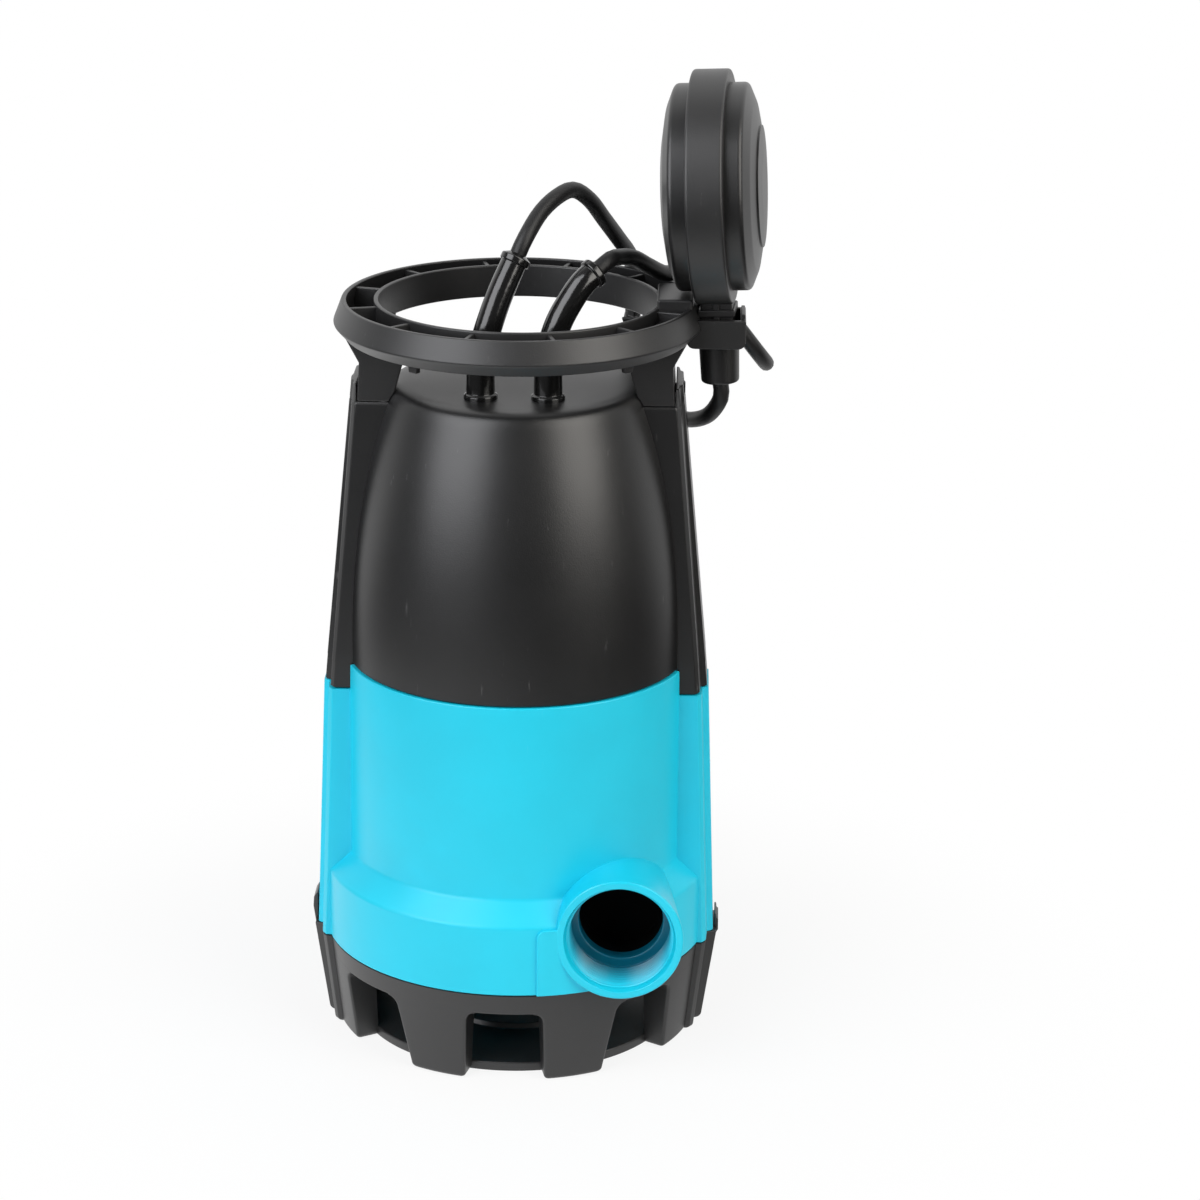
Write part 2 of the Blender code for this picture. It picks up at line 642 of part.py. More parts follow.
def build_housing():
    ledge = CASING_TOP + GAP
    foot = NOTCH + GAP
    sections = [plan(z, SPIGOT_R, HOUSING_COLUMN, True, GAP) for z in (SPIGOT_BOTTOM, foot)]
    sections += [plan(z, SPIGOT_R, HOUSING_COLUMN, inset=GAP) for z in (foot, ledge)]
    rise = COLUMN_TOP - CASING_TOP
    levels = [ledge, *(CASING_TOP + rise * share for share in FLANK_LEVELS), SHOULDER_Z]
    sections += [plan(z, flank(z), HOUSING_COLUMN) for z in levels]
    line = shoulder()
    sections.append(plan(line[0][1], line[0][0], HOUSING_COLUMN))
    sections += [plan(z, radius, HOUSING_COLUMN, True) for radius, z in line]
    part = loft("motor_housing", sections, "black_plastic")
    for turn in (0, math.pi):
        sections = [tongue_section(COLUMN_TOP + level) for level in TONGUE_LEVELS]
        join(part, loft("tongue", sections, "black_plastic", Matrix.Rotation(turn, 4, "Z")))
    inner = SPIGOT_R - SPIGOT_WALL
    hollow = [(0, SPIGOT_BOTTOM - PAST), (inner, SPIGOT_BOTTOM - PAST)]
    levels = [CASING_TOP + rise * share for share in HOLLOW_LEVELS]
    hollow += [(min(inner, flank(z) - HOUSING_WALL), z) for z in levels]
    hollow += [(PLATEAU_R - 2, PLATEAU - HOUSING_WALL - 1), (0, PLATEAU - HOUSING_WALL)]
    cut(part, turned("hollow", hollow, "black_plastic", 32))
    low, high = ORING_Z - GROOVE_HALF, ORING_Z + GROOVE_HALF
    floor = SPIGOT_R - 2 * ORING_R - 0.2
    groove = [(floor, low), (SPIGOT_R + 2, low), (SPIGOT_R + 2, high), (floor, high)]
    cut(part, turned("groove", groove, "black_plastic", ORING_STEPS))
    near, far = LEG_OUTER - PAST, column_at(HOUSING_COLUMN, COLUMN_TOP)[2] + PAST
    for side in (1, -1):
        spot = (side * BOOT_X, BOOT_Y)
        cut(part, rod("hole", (*spot, PLATEAU - 2 * HOUSING_WALL), (*spot, PLATEAU + PAST), BOOT_HOLE_R))
        ends = [(side * x, 0, HANDLE_SCREW_Z) for x in (near, HANDLE_SCREW_SEAT, far)]
        cut(part, drill("screw", ends[0], ends[2], SCREW_R), drill("recess", ends[1], ends[2], HEAD_R))
    return smooth(part)


def ring_section(radius, z, minor, count=6):
    turns = [2 * math.pi * i / count for i in range(count)]
    return [(radius + minor * math.cos(t), z + minor * math.sin(t)) for t in turns]


def build_seals():
    centre = SPIGOT_R - ORING_R - 0.05
    smooth(turned("housing_o_ring", ring_section(centre, ORING_Z, ORING_R), "seal_rubber", ORING_STEPS))
    bore = SHAFT_R + GAP
    low, high = SEAL_Z
    lip = [(bore, low + 1), (bore + 1.2, low), (SEAL_R, low), (SEAL_R, high), (bore, high)]
    smooth(turned("shaft_seal", lip, "seal_rubber", HIDDEN_STEPS))


def sleeve(radii, ends):
    """Profile of a plain tube."""
    return [(radii[0], ends[0]), (radii[1], ends[0]), (radii[1], ends[1]), (radii[0], ends[1])]


def build_motor():
    seat = BEARING_R + GAP
    pocket = LOWER_BEARING_Z - GAP
    rim = LOWER_BEARING_Z + BEARING_T + 2 * GAP
    neck = PARTITION_HOLE - GAP
    low = [(SEAL_R + GAP, PARTITION[0] + 0.4), (neck, PARTITION[0] + 0.4), (neck, PARTITION[1] + GAP),
           (BRACKET_R, PARTITION[1] + GAP), (BRACKET_R, BRACKET_TOP), (HUB_R, BRACKET_TOP), (HUB_R, rim),
           (seat, rim), (seat, pocket), (8, pocket), (8, SEAL_Z[1] + GAP), (SEAL_R + GAP, SEAL_Z[1] + GAP)]
    smooth(turned("lower_bearing_bracket", low, "cast_aluminium", HIDDEN_STEPS))
    top = CAN_TOP + GAP
    roof = UPPER_BEARING_Z + BEARING_T + GAP
    foot = UPPER_BEARING_Z - 2 * GAP
    cover = top + BRACKET_T
    high = [(SHAFT_R + 2 * GAP, roof), (seat, roof), (seat, foot), (HUB_R, foot), (HUB_R, top),
            (CAN_R[1], top), (CAN_R[1], cover), (SHAFT_R + 2 * GAP, cover)]
    smooth(turned("upper_bearing_bracket", high, "cast_aluminium", HIDDEN_STEPS))
    for name, z in (("lower_bearing", LOWER_BEARING_Z), ("upper_bearing", UPPER_BEARING_Z)):
        race = [(SHAFT_R + GAP, z), (BEARING_R - 1, z), (BEARING_R, z + 1), (BEARING_R, z + BEARING_T),
                (SHAFT_R + GAP, z + BEARING_T)]
        smooth(turned(name, race, "steel", HIDDEN_STEPS))
    smooth(turned("motor_can", sleeve(CAN_R, (BRACKET_TOP + GAP, CAN_TOP)), "steel", HIDDEN_STEPS))
    smooth(turned("stator_core", sleeve(STATOR_R, STATOR_Z), "silicon_steel", HIDDEN_STEPS))
    for name, z in (("winding_lower", STATOR_Z[0] - GAP - WINDING_T), ("winding_upper", STATOR_Z[1] + GAP)):
        inner, outer = WINDING_R
        end = z + WINDING_T
        edge = outer - 4
        head = [(inner, z), (edge, z), (outer, z + 4), (outer, end - 4), (edge, end), (inner, end)]
        smooth(turned(name, head, "copper_winding", HIDDEN_STEPS))
    floor = cover + GAP
    end = floor + CAPACITOR_T
    body = [(0, floor), (CAPACITOR_R, floor), (CAPACITOR_R, end - 2), (CAPACITOR_R - 2, end), (0, end)]
    place = Matrix.Translation((0, CAPACITOR_Y, 0))
    smooth(turned("run_capacitor", body, "white_plastic", SMALL_STEPS, place))


def vane_outline(turn):
    """Plan of one swept-back impeller vane."""
    front, back = [], []
    for i in range(5):
        radius = VANE_ROOT_R + (IMPELLER_R - 2 - VANE_ROOT_R) * i / 4
        angle = turn + VANE_SWEEP * (i / 4) ** 1.2
        half = VANE_T / 2 / radius
        front.append((radius * math.cos(angle - half), radius * math.sin(angle - half)))
        back.append((radius * math.cos(angle + half), radius * math.sin(angle + half)))
    return front + back[::-1]


def build_rotor():
    low, shoulder_z, high = SHAFT_Z
    shaft = [(0, low), (SHAFT_END_R - 0.6, low), (SHAFT_END_R, low + 0.6), (SHAFT_END_R, shoulder_z),
             (SHAFT_R, shoulder_z), (SHAFT_R, high - 1), (SHAFT_R - 1, high), (0, high)]
    smooth(turned("rotor_shaft", shaft, "steel", SMALL_STEPS))
    bore = SHAFT_R + GAP
    end = STATOR_Z[1] - 1
    start = STATOR_Z[0] + 1
    smooth(turned("rotor_core", sleeve((bore, ROTOR_R), (start, end)), "silicon_steel", HIDDEN_STEPS))
    hub_z, vane_z, plate_z, top = IMPELLER_Z
    hub_end, hub_root = IMPELLER_HUB_R
    disc = [(bore, hub_z), (hub_end, hub_z), (hub_root, plate_z), (IMPELLER_R, plate_z), (IMPELLER_R, top),
            (bore, top)]
    wheel = turned("impeller", disc, "inner_plastic", 24)
    for i in range(VANE_COUNT):
        outline = vane_outline(2 * math.pi * i / VANE_COUNT)
        join(wheel, prism("vane", outline, vane_z, plate_z + PAST, "inner_plastic"))
    smooth(wheel)
    hexagon = [(NUT_R * math.cos(math.pi * i / 3), NUT_R * math.sin(math.pi * i / 3)) for i in range(6)]
    high = hub_z - GAP
    low = high - NUT_T
    nut = prism("impeller_nut", hexagon, low, high, "steel")
    smooth(cut(nut, rod("thread", (0, 0, low - PAST), (0, 0, high + PAST), SHAFT_END_R + GAP)))


def leg_outline(z, inner, outer):
    """Channel section of a handle leg, open toward the pump's axis."""
    wall = LEG_WALL
    half = LEG_HALF
    return [(inner, -half, z), (outer, -half, z), (outer, half, z), (inner, half, z),
            (inner, half - wall, z), (outer - wall, half - wall, z), (outer - wall, wall - half, z),
            (inner, wall - half, z)]


def float_frame():
    lean = Matrix.Rotation(FLOAT_LEAN, 4, "Y")
    yaw = Matrix.Rotation(FLOAT_YAW, 4, "Z")
    return Matrix.Translation(FLOAT_PIVOT) @ lean @ yaw


def add_holder(part):
    """The bridge and the pocket at the ring's right that take the float's neck and gland."""
    low, high, half, floor, top = BRIDGE
    join(part, box("web", (low, HOLDER[0] + 1), (-half, half), WEB_Z, "black_plastic", HOLDER_CORNER))
    join(part, box("bridge", (low, high), (-half, half), (floor, top), "black_plastic", HOLDER_CORNER))
    low, high, half, floor, top = HOLDER
    join(part, box("holder", (low, high), (-half, half), (floor, top), "black_plastic", HOLDER_CORNER))
    low, high, half, floor, top = HOLDER_LIP
    join(part, box("lip", (low, high), (-half, half), (floor, top), "black_plastic"))
    low, high, half, floor, top = HOLDER_POCKET
    cut(part, box("pocket", (low, high), (-half, half), (floor, top), "black_plastic"))
    reach = GLAND_R[0] + 0.4
    start, end = 2 * GLAND_Z[0], GLAND_Z[1] + PAST
    bore = [(0, start), (reach, start), (reach, end), (0, end)]
    cut(part, turned("bore", bore, "black_plastic", SMALL_STEPS, float_frame()))


def build_handle():
    part = turned("handle", RING_SECTION, "grey_black_plastic", 42)
    half = RIB_T / 2
    outline = [(RIB_R[0], -half), (RIB_R[1], -half), (RIB_R[1], half), (RIB_R[0], half)]
    for i in range(RIB_COUNT):
        place = Matrix.Rotation(2 * math.pi * (i + 0.5) / RIB_COUNT, 4, "Z")
        join(part, prism("rib", outline, *RIB_Z, "black_plastic", place))
    middle, wide, narrow, thick, foot, top = HOOK
    ends = (middle - thick / 2, middle + thick / 2)
    for angle in HOOK_ANGLES:
        place = Matrix.Rotation(math.radians(angle), 4, "Z")
        sections = [[(ends[0], -w / 2, z), (ends[1], -w / 2, z), (ends[1], w / 2, z), (ends[0], w / 2, z)]
                    for w, z in ((narrow, foot), (wide, top))]
        join(part, loft("hook", sections, "black_plastic", place))
    near, far = LEG_OUTER - 2 * LEG_WALL, LEG_OUTER + PAST
    for side in (1, -1):
        turn = Matrix.Rotation(0 if side > 0 else math.pi, 4, "Z")
        sections = [leg_outline(*section) for section in LEG_SECTIONS]
        join(part, loft("leg", sections, "black_plastic", turn))
        cut(part, drill("hole", (side * near, 0, HANDLE_SCREW_Z), (side * far, 0, HANDLE_SCREW_Z), SCREW_R))
    spread = 1 / math.cos(math.pi / ROUND_STEPS)
    line = [((radius + GAP) * spread, z + GAP) for radius, z in shoulder()]
    under = COLUMN_TOP - PAST
    cut(part, turned("shoulder", [(0, under), (line[0][0], under), *line, (0, line[-1][1])], "black_plastic"))
    add_holder(part)
    return smooth(part)


def screw(name, place, length):
    """A pan-head screw whose head stands on the frame's origin and whose shank runs along -Z."""
    profile = [(0, HEAD_T), (HEAD_R - 1.2, HEAD_T), (HEAD_R, HEAD_T - 1), (HEAD_R, 0), (SCREW_R, 0),
               (SCREW_R, 1 - length), (SCREW_R - 0.8, -length), (0, -length)]
    return smooth(turned(name, profile, "steel", SCREW_STEPS, place))


def build_screws():
    seat = HANDLE_SCREW_SEAT + GAP
    for name, side in (("handle_screw_right", 1), ("handle_screw_left", -1)):
        turn = Matrix.Rotation(side * math.pi / 2, 4, "Y")
        screw(name, Matrix.Translation((side * seat, 0, HANDLE_SCREW_Z)) @ turn, HANDLE_SCREW_LENGTH)
    for i, (x, y) in enumerate(base_screw_spots()):
        place = Matrix.Translation((x, y, BASE_SCREW_SEAT - GAP)) @ Matrix.Rotation(math.pi, 4, "X")
        screw(f"base_screw_{i + 1}", place, BASE_SCREW_END - BASE_SCREW_SEAT)


def across_float():
    """Frame with Z along the float disc's axle, at the disc's centre."""
    return Matrix.Translation((0, 0, FLOAT_CENTRE)) @ Matrix.Rotation(math.pi / 2, 4, "Y")


def shell_profile(stepped):
    """Cup of one float half: rim, cylinder and dome, hollow toward the middle."""
    start = CARRIER_T / 2 + GAP
    arc = []
    for i in range(5):
        turn = math.pi / 2 * i / 4
        arc.append((SHELL_R * math.cos(turn), SHELL_RIM + (SHELL_DOME - SHELL_RIM) * math.sin(turn)))
    arc[-1] = (0, SHELL_DOME)
    if stepped:
        edge = SHELL_DISC_R
        level = SHELL_RIM + (SHELL_DOME - SHELL_RIM) * math.sqrt(1 - (edge / SHELL_R) ** 2)
        step = level + SHELL_DISC_T
        arc[-2:] = [(edge, level), (edge, step), (edge - 1, step + 0.2), (0, SHELL_DOME + SHELL_DISC_T)]
    inner = [(SHELL_R - SHELL_WALL, SHELL_RIM - SHELL_WALL), (0.6 * SHELL_R, SHELL_DOME - 2 * SHELL_WALL),
             (0, SHELL_DOME - SHELL_WALL)]
    return [(SHELL_R, start)] + arc + inner[::-1] + [(SHELL_R - SHELL_WALL, start)]


def build_float():
    axle = across_float()
    parts = []
    for name, side in (("float_shell_right", 1), ("float_shell_left", -1)):
        place = axle if side > 0 else axle @ Matrix.Rotation(math.pi, 4, "X")
        parts.append(turned(name, shell_profile(side > 0), "black_plastic", 28, place))
    inner = SHELL_R + GAP
    edge = BAND_R - BAND_EDGE
    flat = BAND_HALF - BAND_EDGE
    hoop = [(inner, -BAND_HALF), (edge, -BAND_HALF), (BAND_R, -flat), (BAND_R, flat), (edge, BAND_HALF),
            (inner, BAND_HALF)]
    band = turned("float_band", hoop, "grey_black_plastic", ROUND_STEPS, axle)
    half_x, half_y, foot = NECK
    crown = FLOAT_CENTRE - inner - GAP
    corners = ((-half_x, -half_y), (half_x, -half_y), (half_x, half_y), (-half_x, half_y))
    neck = [[(x * w, y * w, z) for x, y in corners]
            for z, w in ((foot, 1.0), (crown - 1.2, 1.0), (crown, 0.9))]
    parts.append(join(band, loft("neck", neck, "black_plastic")))
    low, high = GLAND_Z
    gland = [(0, low), (GLAND_R[1] - 1, low), (GLAND_R[1], low + 1), (GLAND_R[0], high), (0, high)]
    parts.append(turned("float_gland", gland, "black_plastic", SMALL_STEPS))
    half = CARRIER_T / 2
    web = [(0, -half), (SHELL_R - 1, -half), (SHELL_R - 1, half), (0, half)]
    carrier = turned("switch_carrier", web, "inner_plastic", HIDDEN_STEPS, axle)
    low, high = FLOAT_CENTRE + RACE_Z[0], FLOAT_CENTRE + RACE_Z[1]
    join(carrier, rod("race", (0, 0, low), (0, 0, high), RACE_R[1], "inner_plastic"))
    cut(carrier, rod("bore", (0, 0, low + RACE_FLOOR), (0, 0, high + PAST), RACE_R[0]))
    sx, sy, sz = (v / 2 for v in SWITCH)
    centre = high + GAP + sz
    seat_x, seat_y, seat_top = sx + GAP, sy + GAP, centre + sz + GAP
    seat = box("seat", (-seat_x, seat_x), (-seat_y, seat_y), (high - 0.01, seat_top), "inner_plastic")
    cut(carrier, seat)
    parts.append(carrier)
    parts.append(box("microswitch", (-sx, sx), (-sy, sy), (centre - sz, centre + sz), "inner_plastic", 1.0))
    rest = low + RACE_FLOOR + GAP + BALL_R
    turns = [math.pi * (i / 8 - 0.5) for i in range(9)]
    globe = [(BALL_R * math.cos(t), rest + BALL_R * math.sin(t)) for t in turns]
    globe[0], globe[-1] = (0, rest - BALL_R), (0, rest + BALL_R)
    parts.append(turned("switch_ball", globe, "steel", DRILL_STEPS))
    pivot = bpy.data.objects.new("float_pivot", None)
    bpy.context.scene.collection.objects.link(pivot)
    pivot.matrix_world = Matrix.Translation(Vector(FLOAT_PIVOT) * MM) @ float_frame().to_3x3().to_4x4()
    for part in parts:
        part.parent = pivot
        smooth(part)


def swept(name, path, radii, slot, sides):
    """A round body along a path; radii gives (share of the length, radius)."""
    total = route_length(path)
    across = Vector((1.0, 0.0, 0.0))
    sections = []
    for share, radius in radii:
        want, at = share * total, 0
        while at < len(path) - 2 and want > (path[at + 1] - path[at]).length:
            want -= (path[at + 1] - path[at]).length
            at += 1
        way = (path[at + 1] - path[at]).normalized()
        centre = path[at] + way * want
        across = (across - way * across.dot(way)).normalized()
        other = way.cross(across)
        turns = [2 * math.pi * i / sides for i in range(sides)]
        sections.append([centre + (across * math.cos(t) + other * math.sin(t)) * radius for t in turns])
    return loft(name, sections, slot)


def boot_radius(share):
    for (a, ra), (b, rb) in zip(BOOT_RADII, BOOT_RADII[1:]):
        if share <= b:
            return ra + (rb - ra) * (share - a) / (b - a)
    return BOOT_RADII[-1][1]


def build_boot(name, side, route):
    """A cable boot: its stem sits in the housing's hole and its sleeve follows the cable."""
    foot = Vector((side * BOOT_X, BOOT_Y, PLATEAU + GAP))
    path = smooth_route([foot, *route], 2.0)
    shares = sorted({share for share, _ in BOOT_RADII} | {i / 6 for i in range(1, 6)})
    part = swept(name, path, [(share, boot_radius(share)) for share in shares], "glossy_rubber", 14)
    below, above = Vector((0, 0, -BOOT_STEM)), Vector((0, 0, PAST))
    join(part, rod("stem", foot + below, foot + above, BOOT_HOLE_R - GAP))
    smooth(part)
    out = (path[-1] - path[-2]).normalized()
    return path[-1] + out * GAP, out


def build_cables():
    start, out = build_boot("float_cable_boot", -1, FLOAT_BOOT)
    frame = float_frame()
    end = frame @ Vector((0, 0, GLAND_Z[0] - GAP))
    down = frame.to_3x3() @ Vector((0, 0, -1))
    path = cable_path(start, out, FLOAT_ROUTE, end, down, CABLE_STEP)
    cord("float_cable", path, 2)
    print("float cable", round(route_length(path)), "mm")
    start, out = build_boot("power_cable_boot", 1, POWER_BOOT)
    coil = coil_points()
    ahead = (coil[0] - coil[1]).normalized()
    end = coil[0] + ahead * GAP
    path = cable_path(start, out, POWER_ROUTE, end, ahead, CABLE_STEP)
    cord("power_cord", path, 2)
    cord("power_cord_coil", coil, 1)
    print("power cord", round(route_length(path) + route_length(coil)), "mm, least gap in the coil",
          round(coil_gap(coil), 2), "mm")


def coil_spot(turns, radius, z):
    """A point of the coil after a number of clockwise turns from its front."""
    angle = -math.pi / 2 - 2 * math.pi * turns
    return Vector((COIL_CENTRE[0] + radius * math.cos(angle), COIL_CENTRE[1] + radius * math.sin(angle), z))


def coil_points():
    """Layers that spiral in and out in turn, each climbing in the half turn where the spiral reverses."""
    inner, outer = COIL_R
    ground = COIL_FLOOR + CABLE_R
    turns = COIL_LAYER_COUNT * COIL_LAYER_TURNS
    count = round(turns * COIL_POINT_COUNT)
    found = []
    for i in range(count + 1):
        at = turns * i / count
        layer = min(COIL_LAYER_COUNT - 1, int(at / COIL_LAYER_TURNS))
        part = at / COIL_LAYER_TURNS - layer
        radius = outer - (outer - inner) * (part if layer % 2 == 0 else 1 - part)
        radius += LEAD_IN * max(0.0, 1 - at / LEAD_IN_TURNS) ** 2
        level = 0.0
        for k in range(1, COIL_LAYER_COUNT):
            level += min(1.0, max(0.0, 2 * (at - k * COIL_LAYER_TURNS) + 0.5))
        found.append(coil_spot(at, radius, ground + COIL_LAYER_RISE * level))
    entry, heading = plug_entry()
    top = found[-1].z
    for i in range(1, TAIL_POINT_COUNT + 1):
        part = i / TAIL_POINT_COUNT
        radius = outer - (outer - TAIL_R) * max(0.0, 1.4 * part - 0.4) ** 2
        rise = (entry.z - top) * part**2 * (3 - 2 * part)
        found.append(coil_spot(turns + i / COIL_POINT_COUNT, radius, top + rise))
    return found + [entry - heading * 2 * CABLE_R, entry]


def plug_entry():
    """Where the cable meets the plug's relief, and the way the plug points: across the top of the coil."""
    top = COIL_FLOOR + 2 * CABLE_R + (COIL_LAYER_COUNT - 1) * COIL_LAYER_RISE
    heading = Vector((0.0, 1.0, 0.0))
    spot = Vector((COIL_CENTRE[0] - PLUG_AXIS_R, COIL_CENTRE[1] - PLUG_SET_BACK, top + GAP + PLUG_R))
    return spot, heading


def coil_gap(points):
    """Least clear distance between stretches of the coil that aren't neighbours, from points along it."""
    fine = []
    for a, b in zip(points, points[1:]):
        fine += [a.lerp(b, k / 4) for k in range(4)]
    apart = 12
    least = 1e9
    for i in range(len(fine) - apart):
        a = fine[i]
        for b in fine[i + apart:]:
            if abs(a.z - b.z) < 12 and abs(a.x - b.x) < 12 and abs(a.y - b.y) < 12:
                least = min(least, (a - b).length)
    return least - 2 * CABLE_R


def build_tie():
    """A strap round the coil's bundle, passing under it."""
    inner, outer = COIL_R[0] - CABLE_R - 0.6, COIL_R[1] + CABLE_R + 0.8
    low = COIL_FLOOR - GAP
    high = COIL_FLOOR + 2 * CABLE_R + (COIL_LAYER_COUNT - 1) * COIL_LAYER_RISE + GAP
    turn = Matrix.Rotation(TIE_ANGLE, 4, "Z") @ Matrix.Rotation(math.pi / 2, 4, "X")
    frames = []
    for grow in (0.0, TIE_T):
        x, y, corner = (inner - grow, outer + grow), (low - grow, high + grow), 3.0 + grow
        wide = TIE_W / 2 + (0 if grow else 1)
        frames.append(box("cord_tie" if grow else "inside", x, y, (-wide, wide), "seal_rubber", corner))
    part = cut(frames[1], frames[0])
    part.data.transform(Matrix.Translation(Vector((*COIL_CENTRE, 0)) * MM) @ turn)
    return smooth(part)


def build_plug():
    entry, heading = plug_entry()
    place = Matrix.Translation(entry + heading * GAP) @ heading.to_track_quat("Z", "Y").to_matrix().to_4x4()
    neck, body = PLUG_RELIEF, PLUG_RELIEF + PLUG_BODY
    profile = [(0, 0), (1.4 * CABLE_R, 0), (1.6 * CABLE_R, neck / 2), (2.2 * CABLE_R, 0.9 * neck),
               (0.78 * PLUG_R, neck + 0.06 * PLUG_BODY), (0.89 * PLUG_R, neck + 0.33 * PLUG_BODY),
               (PLUG_R, neck + 0.61 * PLUG_BODY), (PLUG_R, body - PLUG_EDGE), (PLUG_R - PLUG_EDGE, body),
               (0, body)]
    smooth(turned("power_plug", profile, "glossy_rubber", 20, place))
    for name, side in (("plug_pin_a", 1), ("plug_pin_b", -1)):
        pin = [(0, 0), (PIN_R, 0), (PIN_R, PIN_LENGTH - 1.5), (PIN_R - 1.2, PIN_LENGTH), (0, PIN_LENGTH)]
        spot = place @ Matrix.Translation((side * PIN_HALF_PITCH, 0, body + GAP))
        smooth(turned(name, pin, "nickel_pin", 12, spot))


def main():
    clear_scene()
    build_base()
    build_suction_plate()
    build_casing()
    build_housing()
    build_seals()
    build_motor()
    build_rotor()
    build_handle()
    build_screws()
    build_float()
    build_cables()
    build_tie()
    build_plug()


main()
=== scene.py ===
"""Looks of a submersible sump pump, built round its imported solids.

Laid out as an add-on and run as a script. Shapes are worked out in millimetres and written in metres.
Z is up, the floor is z = 0, the pump's axis is Z and its outlet faces -Y.
"""

import math

import bmesh
import bpy
from bpy.props import FloatProperty, FloatVectorProperty, IntProperty, PointerProperty
from mathutils import Matrix, Vector


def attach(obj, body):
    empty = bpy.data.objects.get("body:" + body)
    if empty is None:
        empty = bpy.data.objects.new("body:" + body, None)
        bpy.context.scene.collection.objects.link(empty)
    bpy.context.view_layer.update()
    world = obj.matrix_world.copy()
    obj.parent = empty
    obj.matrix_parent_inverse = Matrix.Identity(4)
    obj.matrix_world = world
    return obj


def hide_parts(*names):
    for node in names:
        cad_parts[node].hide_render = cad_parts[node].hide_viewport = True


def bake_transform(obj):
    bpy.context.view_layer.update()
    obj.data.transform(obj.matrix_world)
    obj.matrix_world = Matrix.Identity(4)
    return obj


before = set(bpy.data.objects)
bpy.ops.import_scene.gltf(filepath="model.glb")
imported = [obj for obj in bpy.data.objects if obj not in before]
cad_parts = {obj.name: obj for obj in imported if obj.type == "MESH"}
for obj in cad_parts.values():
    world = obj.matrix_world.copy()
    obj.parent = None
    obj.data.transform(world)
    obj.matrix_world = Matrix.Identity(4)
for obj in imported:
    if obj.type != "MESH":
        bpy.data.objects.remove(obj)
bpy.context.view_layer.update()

bl_info = {
    "name": "Sump Pump",
    "version": (1, 0, 0),
    "blender": (4, 5, 0),
    "location": "View3D > Sidebar > Sump Pump",
    "description": "Builds the looks of a submersible sump pump round its packed solids",
    "category": "Add Mesh",
}

MM = 0.001
# Free gap between neighbouring solids. Lengths are in millimetres unless a name or comment says otherwise.
GAP = 0.3

# Heights and radii of the three stacked mouldings
BASE_TOP = 45.0
CASING_BOTTOM = 45.3
NOTCH = 168.0
CASING_TOP = 180.0
COLUMN_TOP = 304.0
PLATEAU = 310.0
BASE_R = (85.0, 90.0)
CAVITY_R = 74.0
HOUSING_R = 78.4
SPIGOT_R = 75.9
PLATEAU_R = 50.0
# the housing's side is drawn in by a power of the height, and its shoulder is a weighted curve
FLANK_DRAW = 17.2
FLANK_POWER = 2.4
SHOULDER_Z = 299.0
SHOULDER_PULL = 2.2
TONGUE_Z = (COLUMN_TOP - 8.0, COLUMN_TOP, 312.0)

# Side columns: (z, face half width, face reach, rib reach) at the two ends of each moulding
HOUSING_COLUMN = ((NOTCH, 25.0, 83.5, 88.6), (COLUMN_TOP, 22.0, 72.0, 75.6))
CASING_COLUMN = ((CASING_BOTTOM, 27.0, 88.5, 93.5), (NOTCH, 25.4, 84.0, 89.0))
BASE_COLUMN = ((0.0, 26.0, 83.0, 88.5), (BASE_TOP, 27.0, 88.3, 95.2))
COLUMN_CHAMFER = 2.5
RIB_HALF = 12.0
RIB_CHAMFER = 1.5
ARC_STEPS = 30

# Base windows: angles from the front, in degrees, at the top edge and at the floor
WINDOWS = (((-60.0, -36.2), (-58.0, -31.6)), ((-12.0, 10.6), (-13.2, 11.7)), ((35.0, 56.0), (30.6, 56.5)))
WINDOW_TOP = 35.0
WINDOW_CORNER = 4.5
FOOT_EASE = 2.2
BASE_FLOOR = ((0, 0, 0), (74.6, 0, 0.6), (74.6, 4.5, 1.0), (39, 4.5, 0.8), (38, 7, 0.8), (0, 7, 0))
# latches: side of the pump, and (reach, z) round each from the joint at the column's face
LATCHES = ((-1, ((-3.0, -6.4), (0.9, -5.6), (1.9, -2.0), (3.0, 6.0), (2.7, 10.4), (1.4, 12.6), (0.6, 12.6),
                 (0.6, -0.5), (-3.0, -0.5))),
           (1, ((-3.0, -4.6), (1.3, -4.0), (2.5, -1.8), (2.5, 3.4), (1.7, 4.2), (1.4, 6.4), (0.6, 6.4),
                (0.6, -0.5), (-3.0, -0.5))))
LATCH_FACE = 93.5
LATCH_HALF = 7.0
BASE_SCREWS = ((80.0, -16.0), (80.0, 16.0), (-80.0, -16.0), (-80.0, 16.0))
BASE_SCREW_SEAT = 31.7
BASE_SCREW_LENGTH = 29.0
BASE_SCREW_BORE = 4.4

# Screw heads: (radius, z, ease), standing on z = 0; cross recess: half length, half width, foot and top
SCREW_HEAD = ((0, 2.6, 0), (2.6, 2.6, 0.8), (4.0, 1.4, 0.8), (4.0, 0, 0.2), (2.0, 0, 0))
CROSS = (2.2, 0.45)
CROSS_Z = (1.2, 4.0)

# Casing: radii at its foot, under the step, above the step and at the rim's foot
CASING_R = (90.2, 90.0, 80.3, 79.8)
STEP_Z = (78.5, 88.0)
STEP_EASE = 3.0
# rim between the columns: inner radius, and outer radius at its top
RIM_R = (76.2, 79.6)

# Outlet: (x, z) of its axis, and depths along it from the pump's cross plane
OUTLET = (51.0, 73.0)
MOUTH = 88.5
THREAD_END = 64.5
OUTLET_R = 28.9
MOUTH_R = 25.4
THREAD_R = (24.5, 23.6)
BORE_R = 19.2
BORE_END = 58.0
# its outer wall leans, and ends on a slope that clears the impeller
OUTLET_LEAN = 0.13
ROOT = 22.0
ROOT_SLOPE = 21.0
